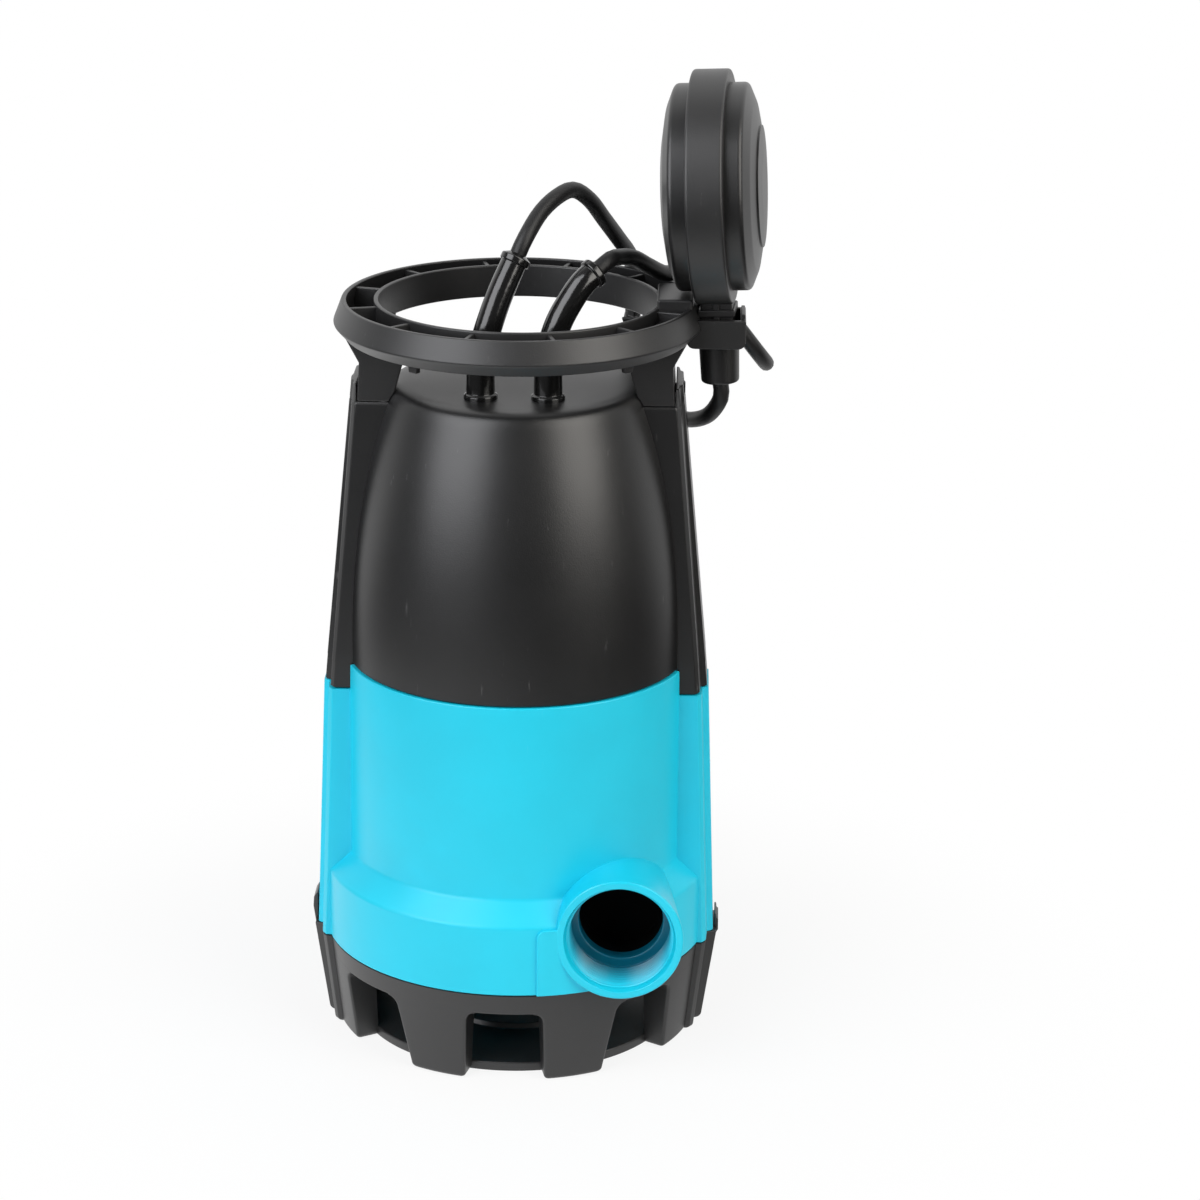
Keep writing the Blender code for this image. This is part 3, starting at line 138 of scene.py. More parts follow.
# hole for it in the casing, and a dark cup that closes its bore: painted shade for the unlit inside behind
# the thread
HOLE_R = 26.0
HOLE_Z = (41.0, 110.0)
SHADE_CUP = ((0, 42, 0), (21.5, 42, 0), (21.5, 57.2, 0), (19.3, 57.8, 0), (19.3, 44, 0), (0, 44, 0))
# painted shade inside the bore: how far it darkens, between which radii it ends, and the colour of the shade
PAINTED_BORE_SHADE = 0.75
PAINTED_BORE_SHADE_R = (27.6, 28.2)
PAINTED_BORE_SHADE_COLOUR = (0.0, 0.05, 0.12, 1.0)

# Pad beside the outlet: its left edge is given by x, its right end by an angle from the front
PAD_R = 91.4
PAD_X = 13.8
PAD_END = math.radians(40.0)
PAD_TOP = 77.5
PAD_CORNER = 4.0
PAD_EASE = 0.6

# Handle ring: (radius, z, ease of the corner), and hooks: (radius, widths, thickness, foot, top)
RING = ((79.5, 348.0, 0.8), (83.4, 337.7, 1.4), (78.2, 332.0, 1.2), (63.0, 333.0, 1.0), (63.0, 348.0, 0.8),
        (65.1, 348.0, 0.7), (65.3, 336.2, 0.8), (79.2, 337.0, 0.8), (77.3, 348.0, 0.7))
HOOK = (71.5, 6.0, 4.6, 3.0, 327.5, 333.5)
HOOK_ANGLES = (45.0, 233.6, 314.8)
# blocks: bounds in x, y and z and the ease of the edges, where None stands for the edge setting
RIB = ((64.6, 78.6), (-1.0, 1.0), (335.0, 346.8), 0.5)
HANDLE_BLOCKS = {
    "web": ((63.0, 77.0), (-16.0, 16.0), (334.0, 346.0), None),
    "bridge": ((62.5, 78.4), (-16.5, 16.5), (335.0, 352.0), 1.2),
    "lip": ((100.3, 102.0), (-9.0, 9.0), (333.0, 344.0), 0.4),
    "tab": ((78.5, 85.0), (11.8, 14.0), (336.0, 345.5), None),
}
# float holder: (x, z, ease) of its outline, its pocket, and its bore in the float's frame
HOLDER = ((76.0, 329.0, 4.0), (102.4, 329.0, 4.0), (102.4, 342.0, 0.6), (76.0, 342.0, 0.6))
HOLDER_HALF = 14.0
HOLDER_EASE = 0.6
POCKET = ((79.8, 100.0), (-11.5, 11.5), (334.0, 360.0), 0.3)
GLAND_BORE = ((0, -22), (9.7, -22), (9.7, 16), (0, 16))
# handle legs: (z, inner x, outer x)
LEGS = ((304.3, 55.5, 71.3), (322.0, 50.6, 70.3), (334.5, 46.0, 77.0))
LEG_HALF = 22.0
LEG_WALL = 3.0
# turn of each leg about the axis, and how far its first wall stands back
LEG_TURNS = ((0.0, 0.0), (180.0, 11.0))
SCREW_Z = 307.5
SCREW_SEAT = 73.2
SCREW_LENGTH = 8.0
SCREW_WELL = ((0, 0), (4.3, 0), (4.3, 9), (0, 9))

# Float: its own frame has Z along the gland and X along the disc's axle
FLOAT_PIVOT = (91.0, 0.0, 320.0)
FLOAT_TILT = -3.0
FLOAT_TURN = -5.0
FLOAT_CENTRE = 80.0
SHELL_R = 46.0
BAND_R = 52.0
BAND_HALF = 8.3
BAND_EASE = 1.5
GLAND_FOOT = -9.2
GLAND = ((0, GLAND_FOOT, 0), (8.6, GLAND_FOOT, 1.6), (9.3, 14.7, 0.5), (0, 14.7, 0))
NECK = (((-7.2, 7.2), (-8.0, 8.0), (15.0, 33.0), 0.8), ((-8.3, 8.3), (-9.4, 9.4), (22.5, 26.0), 0.7),
        ((-1.4, 1.4), (-9.0, 9.0), (15.0, 32.0), 0.5))
# shells: (radius, z, ease) of the rim, then of a face with a raised disc and of a plain one
SHELL_BACK = 1.5
SHELL_RIM = ((SHELL_R, SHELL_BACK, 0), (SHELL_R, 16.0, 2.6), (38.0, 19.2, 9.0), (27.0, 21.2, 0))
DISC_FACE = ((27.0, 21.5, 0), (27.0, 21.9, 0.3), (14.0, 22.7, 6.0), (0, 22.9, 0))
PLAIN_FACE = ((27.0, 21.2, 0), (14.0, 22.3, 6.0), (0, 22.4, 0))

# Cables and boots; a boot's profile is (share of its length, offset along it, radius, ease)
BOOT_X = 15.0
BOOT_Y = -33.0
BOOT_STEP = 1.5
BOOT_PROFILE = ((0, -0.6, 0.1, 0), (0, -0.6, 7.6, 0.4), (0, 2.3, 7.6, 1.0), (0, 3.1, 6.4, 0.7),
                (0.5, 0, 6.1, 6.0), (1, -3.6, 5.8, 0.3), (1, -3.2, 6.8, 0.5), (1, -0.6, 6.8, 0.8),
                (1, 0.9, 4.1, 0.4), (1, 0.9, 0.1, 0))
FLOAT_BOOT = ((-15, -33, 322), (-14, -32.9, 333), (-11, -31.8, 344), (-6.2, -28.6, 357.5),
              (0.9, -23.5, 373.2))
POWER_BOOT = ((15, -33, 322), (15.9, -32.9, 333), (19.6, -32.2, 345), (25.6, -30.2, 356),
              (30.6, -27.8, 362.6), (36.2, -24, 367))
FLOAT_ROUTE = ((10, -11, 389), (17, -1, 394.4), (24, 10, 395.4), (31, 21, 388.5), (37, 33, 377.5),
               (44, 50, 363.7), (48.4, 65, 353.4), (50, 77, 342), (50, 84.5, 330), (50, 87, 316),
               (52, 84, 301), (57, 73, 289.5), (65, 56, 283), (73, 39, 282.5), (80, 25, 285.5),
               (87, 10, 292.5))
POWER_ROUTE = ((44, -14.5, 370.5), (51, -1, 367.5), (58, 13, 360.5), (65, 26.5, 354), (72, 37, 352),
               (80, 42, 348), (88, 44, 339), (95, 45, 330.3), (101, 46, 322.5), (108.7, 51.2, 311.4),
               (113, 62.5, 303.4), (112.7, 76.6, 300.4), (107.9, 90, 303.3), (100, 98.8, 311.2),
               (91, 102, 321), (84, 104, 327.4), (72, 106, 330.6), (60, 108, 327.4), (51.2, 110, 318.6),
               (48, 111.5, 306.6), (47.5, 113, 285), (46, 114, 255), (43, 114, 222), (38, 114, 190),
               (32, 112, 150), (27, 108, 115), (24, 103.5, 82), (22, 100.8, 52), (17.5, 99.6, 27),
               (8, 99.6, 11.5))
CABLE_STEP = 4.0

# Put-away coil on the floor behind the pump, wound clockwise from its front
CABLE_R = 3.7
COIL_CENTRE = (-10.0, 206.0)
COIL_R = (44.5, 90.5)
COIL_LAYER_COUNT = 4
COIL_LAYER_TURNS = 5.45
COIL_LAYER_RISE = 8.1
COIL_FLOOR = 1.6
LEAD_IN = 12.5
LEAD_IN_TURNS = 0.4
COIL_POINT_COUNT = 42
TAIL_TURNS = 5 / 14
TAIL_R = 74.0
TIE_ANGLE = math.radians(60.0)
TIE_HALF = 4.0
TIE_THICK = 1.1
TIE_EASE = 3.0
PLUG_R = 18.5
PLUG_AXIS_R = 64.0
PLUG_SET_BACK = 20.0
PLUG_RELIEF = 34.0
PLUG_BODY = 36.0
RELIEF_RING_COUNT = 6
RELIEF_PITCH = 4.6
GRIP_RING_COUNT = 4
GRIP_PITCH = 2.4
PIN_SIDE = 9.5
PIN = ((0, 0, 0), (2.4, 0, 0), (2.4, 17.9, 1.0), (1.2, 19.3, 0.8), (0, 19.3, 0))

# Camera fitted to the photo: where it stands, in metres, where it looks, its roll and its focal length
CAMERA_AT = (0.08060, -1.53795, 0.72558)
CAMERA_AHEAD = (-0.02617, 0.94691, -0.32047)
CAMERA_ROLL = math.radians(0.609)
CAMERA_LENS = 105.36

# Lamps, in metres: lower and upper end, width, setting of the power, tint; all face one point
LAMPS = {
    "left_lamp": ((-1.27, -1.41, 0.33), (-0.74, -0.52, 1.93), 1.35, "key", (0.96, 0.97, 1.0)),
    "right_lamp": ((1.45, -1.22, 0.33), (0.82, -0.36, 1.93), 1.1, "side", (1.0, 0.97, 0.92)),
    "top_lamp": ((0.0, -0.7, 2.1), (0.0, 1.1, 2.1), 1.8, "top", (1.0, 1.0, 1.0)),
}
LAMP_AIM = (0.0, 0.0, 0.28)
FLOOR_HALF = 6.0

# Finishes: slot, colour or the name of its setting, roughness, and what differs from a plain plastic
FINISHES = {
    "casing": ("turquoise_plastic", "casing", 0.40, {"bump": 0.05, "mottle": 0.03, "scuffs": 0.12}),
    # the casing's plastic with painted shade inside the outlet's bore
    "bore": ("turquoise_plastic", "casing", 0.30,
             {"bump": 0.05, "mottle": 0.03, "scuffs": 0.12, "paints_bore_shade": True}),
    "housing": ("black_plastic", "housing", 0.36,
                {"bump": 0.16, "mottle": 0.08, "scuffs": 0.35, "level": 0.8}),
    "trim": ("grey_black_plastic", "trim", 0.42,
             {"bump": 0.14, "mottle": 0.08, "scuffs": 0.20, "level": 0.75}),
    "float": ("black_plastic", "housing", 0.38, {"mottle": 0.08, "scuffs": 0.15, "level": 0.75}),
    "boot": ("glossy_rubber", "boot", 0.17,
             {"grain": 0.004, "bump": 0.05, "mottle": 0.05, "scuffs": 0.05, "level": 0.8}),
    "cable": ("cable_rubber", "cable", 0.46, {"grain": 0.0009, "scuffs": 0.10}),
    "bolt": ("steel", (0.05, 0.05, 0.055), 0.35,
             {"metallic": 1.0, "grain": 0.0012, "bump": 0.04, "mottle": 0.04}),
    # near-black and nearly matte: painted shade, worn by the cup in the outlet's bore
    "shade": ("inner_plastic", (0.003, 0.003, 0.003), 0.9, {"level": 0.1}),
    "inner": ("inner_plastic", (0.030, 0.030, 0.034), 0.45, {}),
    "seal": ("seal_rubber", (0.012, 0.012, 0.012), 0.60, {}),
    "steel": ("steel", (0.56, 0.57, 0.58), 0.30,
              {"metallic": 1.0, "grain": 0.0012, "bump": 0.04, "mottle": 0.04}),
    "silicon": ("silicon_steel", (0.22, 0.23, 0.24), 0.45,
                {"metallic": 1.0, "grain": 0.0005, "bump": 0.20, "mottle": 0.06}),
    "aluminium": ("cast_aluminium", (0.62, 0.63, 0.64), 0.45,
                  {"metallic": 1.0, "grain": 0.0010, "bump": 0.20, "mottle": 0.05}),
    "copper": ("copper_winding", (0.50, 0.17, 0.06), 0.40,
               {"metallic": 1.0, "grain": 0.0012, "bump": 0.40, "mottle": 0.12}),
    "white": ("white_plastic", (0.75, 0.75, 0.73), 0.45, {}),
    "nickel": ("nickel_pin", (0.70, 0.68, 0.62), 0.25,
               {"metallic": 1.0, "grain": 0.0010, "bump": 0.03, "mottle": 0.03}),
}

# Finish of each CAD node that is left showing
FINISH_OF = {
    "suction_plate": "inner", "impeller": "inner", "switch_carrier": "inner", "microswitch": "inner",
    "housing_o_ring": "seal", "shaft_seal": "seal", "lower_bearing": "steel", "upper_bearing": "steel",
    "motor_can": "steel", "rotor_shaft": "steel", "impeller_nut": "steel", "switch_ball": "steel",
    "stator_core": "silicon", "rotor_core": "silicon", "lower_bearing_bracket": "aluminium",
    "upper_bearing_bracket": "aluminium", "winding_lower": "copper", "winding_upper": "copper",
    "run_capacitor": "white",
}


def colour(name, description, default):
    """A colour setting."""
    return FloatVectorProperty(name=name, description=description, default=default, subtype="COLOR", size=3,
                               min=0.0, max=1.0)


def length(name, description, default):
    """A length setting, in metres."""
    return FloatProperty(name=name, description=description, default=default, subtype="DISTANCE",
                         unit="LENGTH", min=0.0, precision=5)


class PumpColours(bpy.types.PropertyGroup):
    """Colours of the pump's materials."""

    casing: colour("Casing", "Colour of the pump casing", (0.008, 0.590, 0.785))
    housing: colour("Housing", "Colour of the motor housing and float shells", (0.008, 0.008, 0.0084))
    trim: colour("Trim", "Colour of the handle, base and float band", (0.015, 0.015, 0.0155))
    boot: colour("Boots", "Colour of the glossy cable boots and the plug", (0.005, 0.005, 0.005))
    cable: colour("Cables", "Colour of the cable sheaths", (0.008, 0.008, 0.0085))


class PumpSizes(bpy.types.PropertyGroup):
    """Sizes that a user would change without touching the solids."""

    edge: length("Edge", "Radius on the mouldings' edges", 0.0007)
    grain: length("Grain", "Size of the moulded grain", 0.0006)
    pitch: length("Thread pitch", "Pitch of the outlet's thread", 0.002309)
    thread: length("Thread depth", "Depth of the outlet's thread", 0.0013)
    cable: length("Cable diameter", "Diameter of both cables", 0.0074)
    ribs: IntProperty(name="Ribs", description="Ribs in the handle's ring", default=12, min=3, max=36)


class PumpStage(bpy.types.PropertyGroup):
    """Lamps and surroundings."""

    key: FloatProperty(name="Left lamp", description="Power of the lamp at the left", default=29.0,
                       unit="POWER", min=0.0)
    side: FloatProperty(name="Right lamp", description="Power of the lamp at the right", default=23.0,
                        unit="POWER", min=0.0)
    top: FloatProperty(name="Top lamp", description="Power of the lamp above", default=1.5, unit="POWER",
                       min=0.0)
    ambient: FloatProperty(name="Ambient", description="Light from the room all round", default=0.10, min=0.0)


class Socket:
    """A node's output. Arithmetic on it adds Math nodes to its tree."""

    def __init__(self, nodes, output):
        self.nodes = nodes
        self.output = output

    def maths(self, operation, first, second):
        return self.nodes.add("ShaderNodeMath", {"operation": operation}, {0: first, 1: second})

    def __add__(self, other):
        return self.maths("ADD", self, other)

    def __radd__(self, other):
        return self.maths("ADD", other, self)

    def __sub__(self, other):
        return self.maths("SUBTRACT", self, other)

    def __rsub__(self, other):
        return self.maths("SUBTRACT", other, self)

    def __mul__(self, other):
        return self.maths("MULTIPLY", self, other)

    def at_most(self, other):
        return self.maths("MINIMUM", self, other)

    def eased(self, low, high):
        """0 below low, 1 above high, smooth between."""
        return self.nodes.add("ShaderNodeMapRange", {"interpolation_type": "SMOOTHSTEP"},
                              {"Value": self, "From Min": low, "From Max": high})


class Nodes:
    """A node tree that is emptied and filled again."""

    def __init__(self, tree):
        self.tree = tree
        tree.nodes.clear()

    def add(self, kind, settings=None, sockets=None, output=0):
        made = self.tree.nodes.new(kind)
        for name, value in (settings or {}).items():
            setattr(made, name, value)
        for key, value in (sockets or {}).items():
            if isinstance(value, Socket):
                self.tree.links.new(value.output, made.inputs[key])
            else:
                made.inputs[key].default_value = value
        return Socket(self, made.outputs[output]) if made.outputs else None

    def mix(self, factor, first, second):
        """A colour between two, by a factor."""
        return self.add("ShaderNodeMix", {"data_type": "RGBA"}, {0: factor, 6: first, 7: second}, 2)

    def noise(self, spot, size, detail=2.0):
        return self.add("ShaderNodeTexNoise", None, {"Vector": spot, "Scale": 1 / size, "Detail": detail})

    def scaled(self, spot, factors):
        return self.add("ShaderNodeVectorMath", {"operation": "MULTIPLY"}, {0: spot, 1: factors})


def painted_bore_shade(nodes, spot):
    """Share of painted shade inside the outlet's bore, from its mouth inward."""
    x, y, z = (nodes.add("ShaderNodeSeparateXYZ", None, {0: spot}, axis) for axis in "XYZ")
    depth = y + MOUTH * MM
    side, rise = x + depth * OUTLET_LEAN - OUTLET[0] * MM, z - OUTLET[1] * MM
    inside = 1.0 - (side * side + rise * rise).eased(*((radius * MM) ** 2 for radius in PAINTED_BORE_SHADE_R))
    return inside * depth.eased(0.0, (MOUTH - THREAD_END) * MM) * PAINTED_BORE_SHADE


def painted(name, base, roughness, grain, metallic=0.0, bump=0.1, mottle=0.1, scuffs=0.0, level=0.5,
            paints_bore_shade=False):
    """A procedural finish: fine grain, broad mottling, and pale scuffs that are duller than the rest; for the
    outlet, also painted shade inside its bore.
    """
    made = bpy.data.materials.new(name)
    made.use_nodes = True
    nodes = Nodes(made.node_tree)
    spot = nodes.add("ShaderNodeTexCoord", output="Object")
    fine = nodes.noise(spot, grain, 3.0)
    broad = nodes.noise(spot, 0.045, 4.0)
    dark = [c * (1 - mottle) for c in base]
    pale = [min(1.0, c * (1 + mottle)) for c in base]
    tone = nodes.mix(broad.eased(0.3, 0.7), (*dark, 1), (*pale, 1))
    marks = nodes.noise(nodes.scaled(spot, (1.0, 1.0, 0.12)), 0.0016, 5.0)
    patch = nodes.noise(spot, 0.022, 3.0)
    scuff = marks.eased(0.66, 0.74) * patch.eased(0.52, 0.66) * scuffs
    worn = [c + (1 - c) * 0.22 for c in base]
    tone = nodes.mix(scuff, tone, (*worn, 1))
    # painted shade: the bore's colour darkens from the mouth inward
    if paints_bore_shade:
        tone = nodes.mix(painted_bore_shade(nodes, spot), tone, PAINTED_BORE_SHADE_COLOUR)
    gloss = roughness * 0.9 + broad * (roughness * 0.2) + scuff * 0.2
    relief = nodes.add("ShaderNodeBump", None,
                       {"Strength": bump, "Distance": grain * 0.5, "Height": fine})
    shader = nodes.add("ShaderNodeBsdfPrincipled", None,
                       {"Base Color": tone, "Roughness": gloss.at_most(1.0), "Metallic": metallic,
                        "Specular IOR Level": level, "Normal": relief})
    nodes.add("ShaderNodeOutputMaterial", None, {"Surface": shader})
    made.diffuse_color = (*base, 1)
    return made


def finish(kind):
    """The material of a kind, made when it is first asked for."""
    found = bpy.data.materials.get(kind)
    if found:
        return found
    scene = bpy.context.scene
    _, base, roughness, rest = FINISHES[kind]
    if isinstance(base, str):
        base = getattr(scene.pump_colours, base)
    return painted(kind, base, roughness, **{"grain": scene.pump_sizes.grain, **rest})


def rounded(corners, steps=4):
    """Points of an outline whose corners (x, y, ease) are eased by a curve of that radius."""
    made = []
    count = len(corners)
    for i, (x, y, ease) in enumerate(corners):
        here = Vector((x, y))
        back = Vector(corners[i - 1][:2]) - here
        ahead = Vector(corners[(i + 1) % count][:2]) - here
        if ease <= 0 or back.length * ahead.length == 0:
            made.append((x, y))
            continue
        half = max(0.05, back.angle(ahead) / 2)
        reach = min(ease / math.tan(half), 0.48 * back.length, 0.48 * ahead.length)
        first, last = here + back.normalized() * reach, here + ahead.normalized() * reach
        for step in range(steps + 1):
            t = step / steps
            p = first * (1 - t) ** 2 + here * 2 * t * (1 - t) + last * t**2
            made.append((p.x, p.y))
    return made


def eased(points, faces, radius, limit=40.0, segments=3):
    """Points and faces of a closed shell with its sharp edges rounded."""
    shape = bmesh.new()
    spots = [shape.verts.new(p) for p in points]
    for face in faces:
        shape.faces.new([spots[i] for i in face])
    bmesh.ops.remove_doubles(shape, verts=shape.verts, dist=1e-4)
    bmesh.ops.recalc_face_normals(shape, faces=shape.faces)
    sharp = [e for e in shape.edges
             if len(e.link_faces) == 2 and e.calc_face_angle() > math.radians(limit)]
    bmesh.ops.bevel(shape, geom=sharp, offset=radius, offset_type="OFFSET", segments=segments, profile=0.5,
                    affect="EDGES", clamp_overlap=True)
    shape.verts.index_update()
    result = [v.co.copy() for v in shape.verts], [[v.index for v in f.verts] for f in shape.faces]
    shape.free()
    return result


class Piece:
    """Collects closed shells, in millimetres, for one object."""

    def __init__(self, place=None):
        self.place = place or Matrix.Identity(4)
        self.points = []
        self.faces = []

    def add(self, points, faces, place=None):
        first = len(self.points)
        whole = self.place @ (place or Matrix.Identity(4))
        self.points += [whole @ Vector(p) for p in points]
        self.faces += [[first + i for i in face] for face in faces]
        return self

    def include(self, other):
        """Takes over another piece's shells."""
        first = len(self.points)
        self.points += other.points
        self.faces += [[first + i for i in face] for face in other.faces]
        return self

    def lathe(self, profile, place=None, steps=128):
        """Revolves a profile of (radius, z). It closes on itself, or runs between two points on the axis."""
        points, rings = [], []
        for radius, z in profile:
            first = len(points)
            count = 1 if radius < 1e-6 else steps
            for i in range(count):
                turn = 2 * math.pi * i / steps
                points.append((radius * math.cos(turn), radius * math.sin(turn), z))
            rings.append([first + i % count for i in range(steps)])
        solid = profile[0][0] < 1e-6
        faces = []
        for low, high in zip(rings, rings[1:] if solid else rings[1:] + rings[:1]):
            for i in range(steps):
                j = (i + 1) % steps
                face = list(dict.fromkeys([low[i], low[j], high[j], high[i]]))
                if len(face) > 2:
                    faces.append(face)
        return self.add(points, faces, place)

    def loft(self, sections, place=None, ease=0.0, ring=False):
        """Skins closed outlines of the same number of points, and caps the ends or closes into a ring."""
        count = len(sections[0])
        points = [p for section in sections for p in section]
        faces = []
        for s in range(len(sections) - (0 if ring else 1)):
            a, b = s * count, (s + 1) % len(sections) * count
            for i in range(count):
                j = (i + 1) % count
                faces.append([a + i, a + j, b + j, b + i])
        if not ring:
            faces.append(list(range(count)))
            faces.append([(len(sections) - 1) * count + i for i in range(count)])
        if ease:
            points, faces = eased(points, faces, ease)
        return self.add(points, faces, place)

    def plate(self, outline, low, high, ease, place=None):
        """An outline of (x, y) from z = low to z = high with rounded edges."""
        return self.loft([[(x, y, z) for x, y in outline] for z in (low, high)], place, ease)

    def block(self, x, y, z, ease, place=None):
        """A box between pairs of bounds with rounded edges."""
        outline = [(x[0], y[0]), (x[1], y[0]), (x[1], y[1]), (x[0], y[1])]
        return self.plate(outline, z[0], z[1], ease, place)

    def sweep(self, path, profile, sides=40):
        """A round body along a path; the profile gives (length along the path, radius)."""
        across = Vector((1.0, 0.0, 0.0))
        sections = []
        for want, radius in profile:
            at = 0
            while at < len(path) - 2 and want > (path[at + 1] - path[at]).length:
                want -= (path[at + 1] - path[at]).length
                at += 1
            way = (path[at + 1] - path[at]).normalized()
            centre = path[at] + way * want
            across = (across - way * across.dot(way)).normalized()
            other = way.cross(across)
            turns = [2 * math.pi * i / sides for i in range(sides)]
            sections.append([centre + (across * math.cos(t) + other * math.sin(t)) * radius for t in turns])
        return self.loft(sections)

    def mesh(self, name):
        made = bpy.data.meshes.new(name)
        made.from_pydata([p * MM for p in self.points], [], self.faces)
        shape = bmesh.new()
        shape.from_mesh(made)
        bmesh.ops.remove_doubles(shape, verts=shape.verts, dist=1e-7)
        bmesh.ops.dissolve_degenerate(shape, edges=shape.edges, dist=1e-7)
        bmesh.ops.recalc_face_normals(shape, faces=shape.faces)
        shape.to_mesh(made)
        shape.free()
        return made

    def cut(self, tool):
        """Takes another piece's shells away from this one's."""
        part = bpy.data.objects.new("cut_part", self.mesh("cut_part"))
        other = bpy.data.objects.new("cut_tool", tool.mesh("cut_tool"))
        for made in (part, other):
            bpy.context.scene.collection.objects.link(made)
        step = part.modifiers.new("cut", "BOOLEAN")
        step.operation = "DIFFERENCE"
        step.solver = "EXACT"
        step.object = other
        graph = bpy.context.evaluated_depsgraph_get()
        result = bpy.data.meshes.new_from_object(part.evaluated_get(graph))
        self.points = [v.co / MM for v in result.vertices]
        self.faces = [list(p.vertices) for p in result.polygons]
        for made in (part, other):
            mesh = made.data
            bpy.data.objects.remove(made)
            bpy.data.meshes.remove(mesh)
        bpy.data.meshes.remove(result)
        if not self.faces:
            raise RuntimeError("a cut left nothing")
        return self

    def shown(self, name, kind, body, *nodes):
        """The finished object: smooth, painted, riding on its body in place of CAD nodes."""
        made = bpy.data.objects.new(name, self.mesh(name))
        bpy.context.scene.collection.objects.link(made)
        made.data.shade_smooth()
        made.data.set_sharp_from_angle(angle=math.radians(38))
        level = made.modifiers.new("normals", "WEIGHTED_NORMAL")
        level.keep_sharp = True
        return dressed(made, kind, body, *nodes)


def dressed(made, kind, body, *nodes):
    """Gives an object its finish, lets it ride on a body and stand for CAD nodes."""
    made.data.materials.append(finish(kind))
    if body:
        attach(made, body)
    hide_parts(*nodes)
    return made


def turned_about(axis, degrees):
    """A turn about a named axis."""
    return Matrix.Rotation(math.radians(degrees), 4, axis)


def column(z, ends, inset=0.0):
    """Half width of a side column at a height, and the corners (x, y, ease) of the right one."""
    (low, *first), (high, *last) = ends
    part = min(1.0, max(0.0, (z - low) / (high - low)))
    half, face, rib = (a + (b - a) * part - inset for a, b in zip(first, last))
    side = face + 0.7 * COLUMN_CHAMFER
    corners = [(face, -half, 0.8), (side, COLUMN_CHAMFER - half, 0.8),
               (side + 0.6, -RIB_HALF - RIB_CHAMFER, 0.6), (rib, -RIB_HALF, 0.8)]
    return half, corners + [(x, -y, ease) for x, y, ease in reversed(corners)]


def plan(z, radius, ends, flush=False, inset=0.0):
    """Outline of a moulding at one height: a circle with a ribbed column at each side, or without them."""
    half, corners = column(z, ends, inset)
    if flush:
        corners = [(x * radius / math.hypot(x, y), y * radius / math.hypot(x, y), e) for x, y, e in corners]
    join = math.asin(half / radius)
    swing = math.pi / 2 - join
    front = [-math.pi / 2 + swing * i / ARC_STEPS for i in range(ARC_STEPS + 1)]
    back = [join + swing * i / ARC_STEPS for i in range(ARC_STEPS)]
    right = [(radius * math.cos(a), radius * math.sin(a), 0.0) for a in front] + corners
    right += [(radius * math.cos(a), radius * math.sin(a), 0.0) for a in back]
    outline = right + [(-x, -y, ease) for x, y, ease in right]
    return [(x, y, z) for x, y in rounded(outline, 3)]


def smooth_route(points, spacing):
    """Evenly spaced points on a smooth curve through the given ones."""
    given = [Vector(p) for p in points]
    before = [given[0] * 2 - given[1]] + given[:-1]
    after = given[1:] + [given[-1] * 2 - given[-2]]
    slopes = [(b - a) / 2 for a, b in zip(before, after)]
    fine = []
    for i in range(len(given) - 1):
        for step in range(24):
            t = step / 24
            h = (2 * t**3 - 3 * t**2 + 1, t**3 - 2 * t**2 + t, 3 * t**2 - 2 * t**3, t**3 - t**2)
            fine.append(given[i] * h[0] + slopes[i] * h[1] + given[i + 1] * h[2] + slopes[i + 1] * h[3])
    fine.append(given[-1])
    lengths = [0.0]
    for a, b in zip(fine, fine[1:]):
        lengths.append(lengths[-1] + (b - a).length)
    count = max(2, round(lengths[-1] / spacing))
    found, at = [], 0
    for step in range(count + 1):
        want = lengths[-1] * step / count
        while at < len(fine) - 2 and lengths[at + 1] < want:
            at += 1
        part = (want - lengths[at]) / (lengths[at + 1] - lengths[at])
        found.append(fine[at].lerp(fine[at + 1], part))
    return found


def route_length(points):
    """Length of the line through the points."""
    return sum((b - a).length for a, b in zip(points, points[1:]))


def cable_path(start, out, route, end, back):
    """A cable's points, straight for one diameter out of each end and evenly spaced between."""
    reach = 2 * CABLE_R
    return smooth_route([start, start + out * reach, *route, end + back * reach, end], CABLE_STEP)


def float_frame():
    """The parked float's own frame."""
    return Matrix.Translation(FLOAT_PIVOT) @ turned_about("Y", FLOAT_TILT) @ turned_about("Z", FLOAT_TURN)


def along_outlet():
    """Frame with Z along the outlet, out of the mouth, starting on the pump's cross plane."""
    return Matrix.Translation((OUTLET[0], 0, OUTLET[1])) @ turned_about("X", 90.0)


def boot_path(side, route):
    """Closely spaced points along a boot, from the housing's flat top."""
    return smooth_route([Vector((side * BOOT_X, BOOT_Y, PLATEAU + GAP)), *route], 1.0)


def boot_end(path):
    """Where the cable leaves a boot, and the way it leaves."""
    out = (path[-1] - path[-4]).normalized()
    return path[-1] + out * GAP, out


def coil_spot(turns, radius, z):
    """A point of the coil after a number of clockwise turns from its front."""
    angle = -math.pi / 2 - 2 * math.pi * turns
    return Vector((COIL_CENTRE[0] + radius * math.cos(angle), COIL_CENTRE[1] + radius * math.sin(angle), z))


def coil_top():
    """Height of the coil's upper layer."""
    return COIL_FLOOR + 2 * CABLE_R + (COIL_LAYER_COUNT - 1) * COIL_LAYER_RISE


def plug_entry():
    """Where the cable meets the plug's relief, and the way the plug points."""
    spot = Vector((COIL_CENTRE[0] - PLUG_AXIS_R, COIL_CENTRE[1] - PLUG_SET_BACK, coil_top() + GAP + PLUG_R))
    return spot, Vector((0.0, 1.0, 0.0))


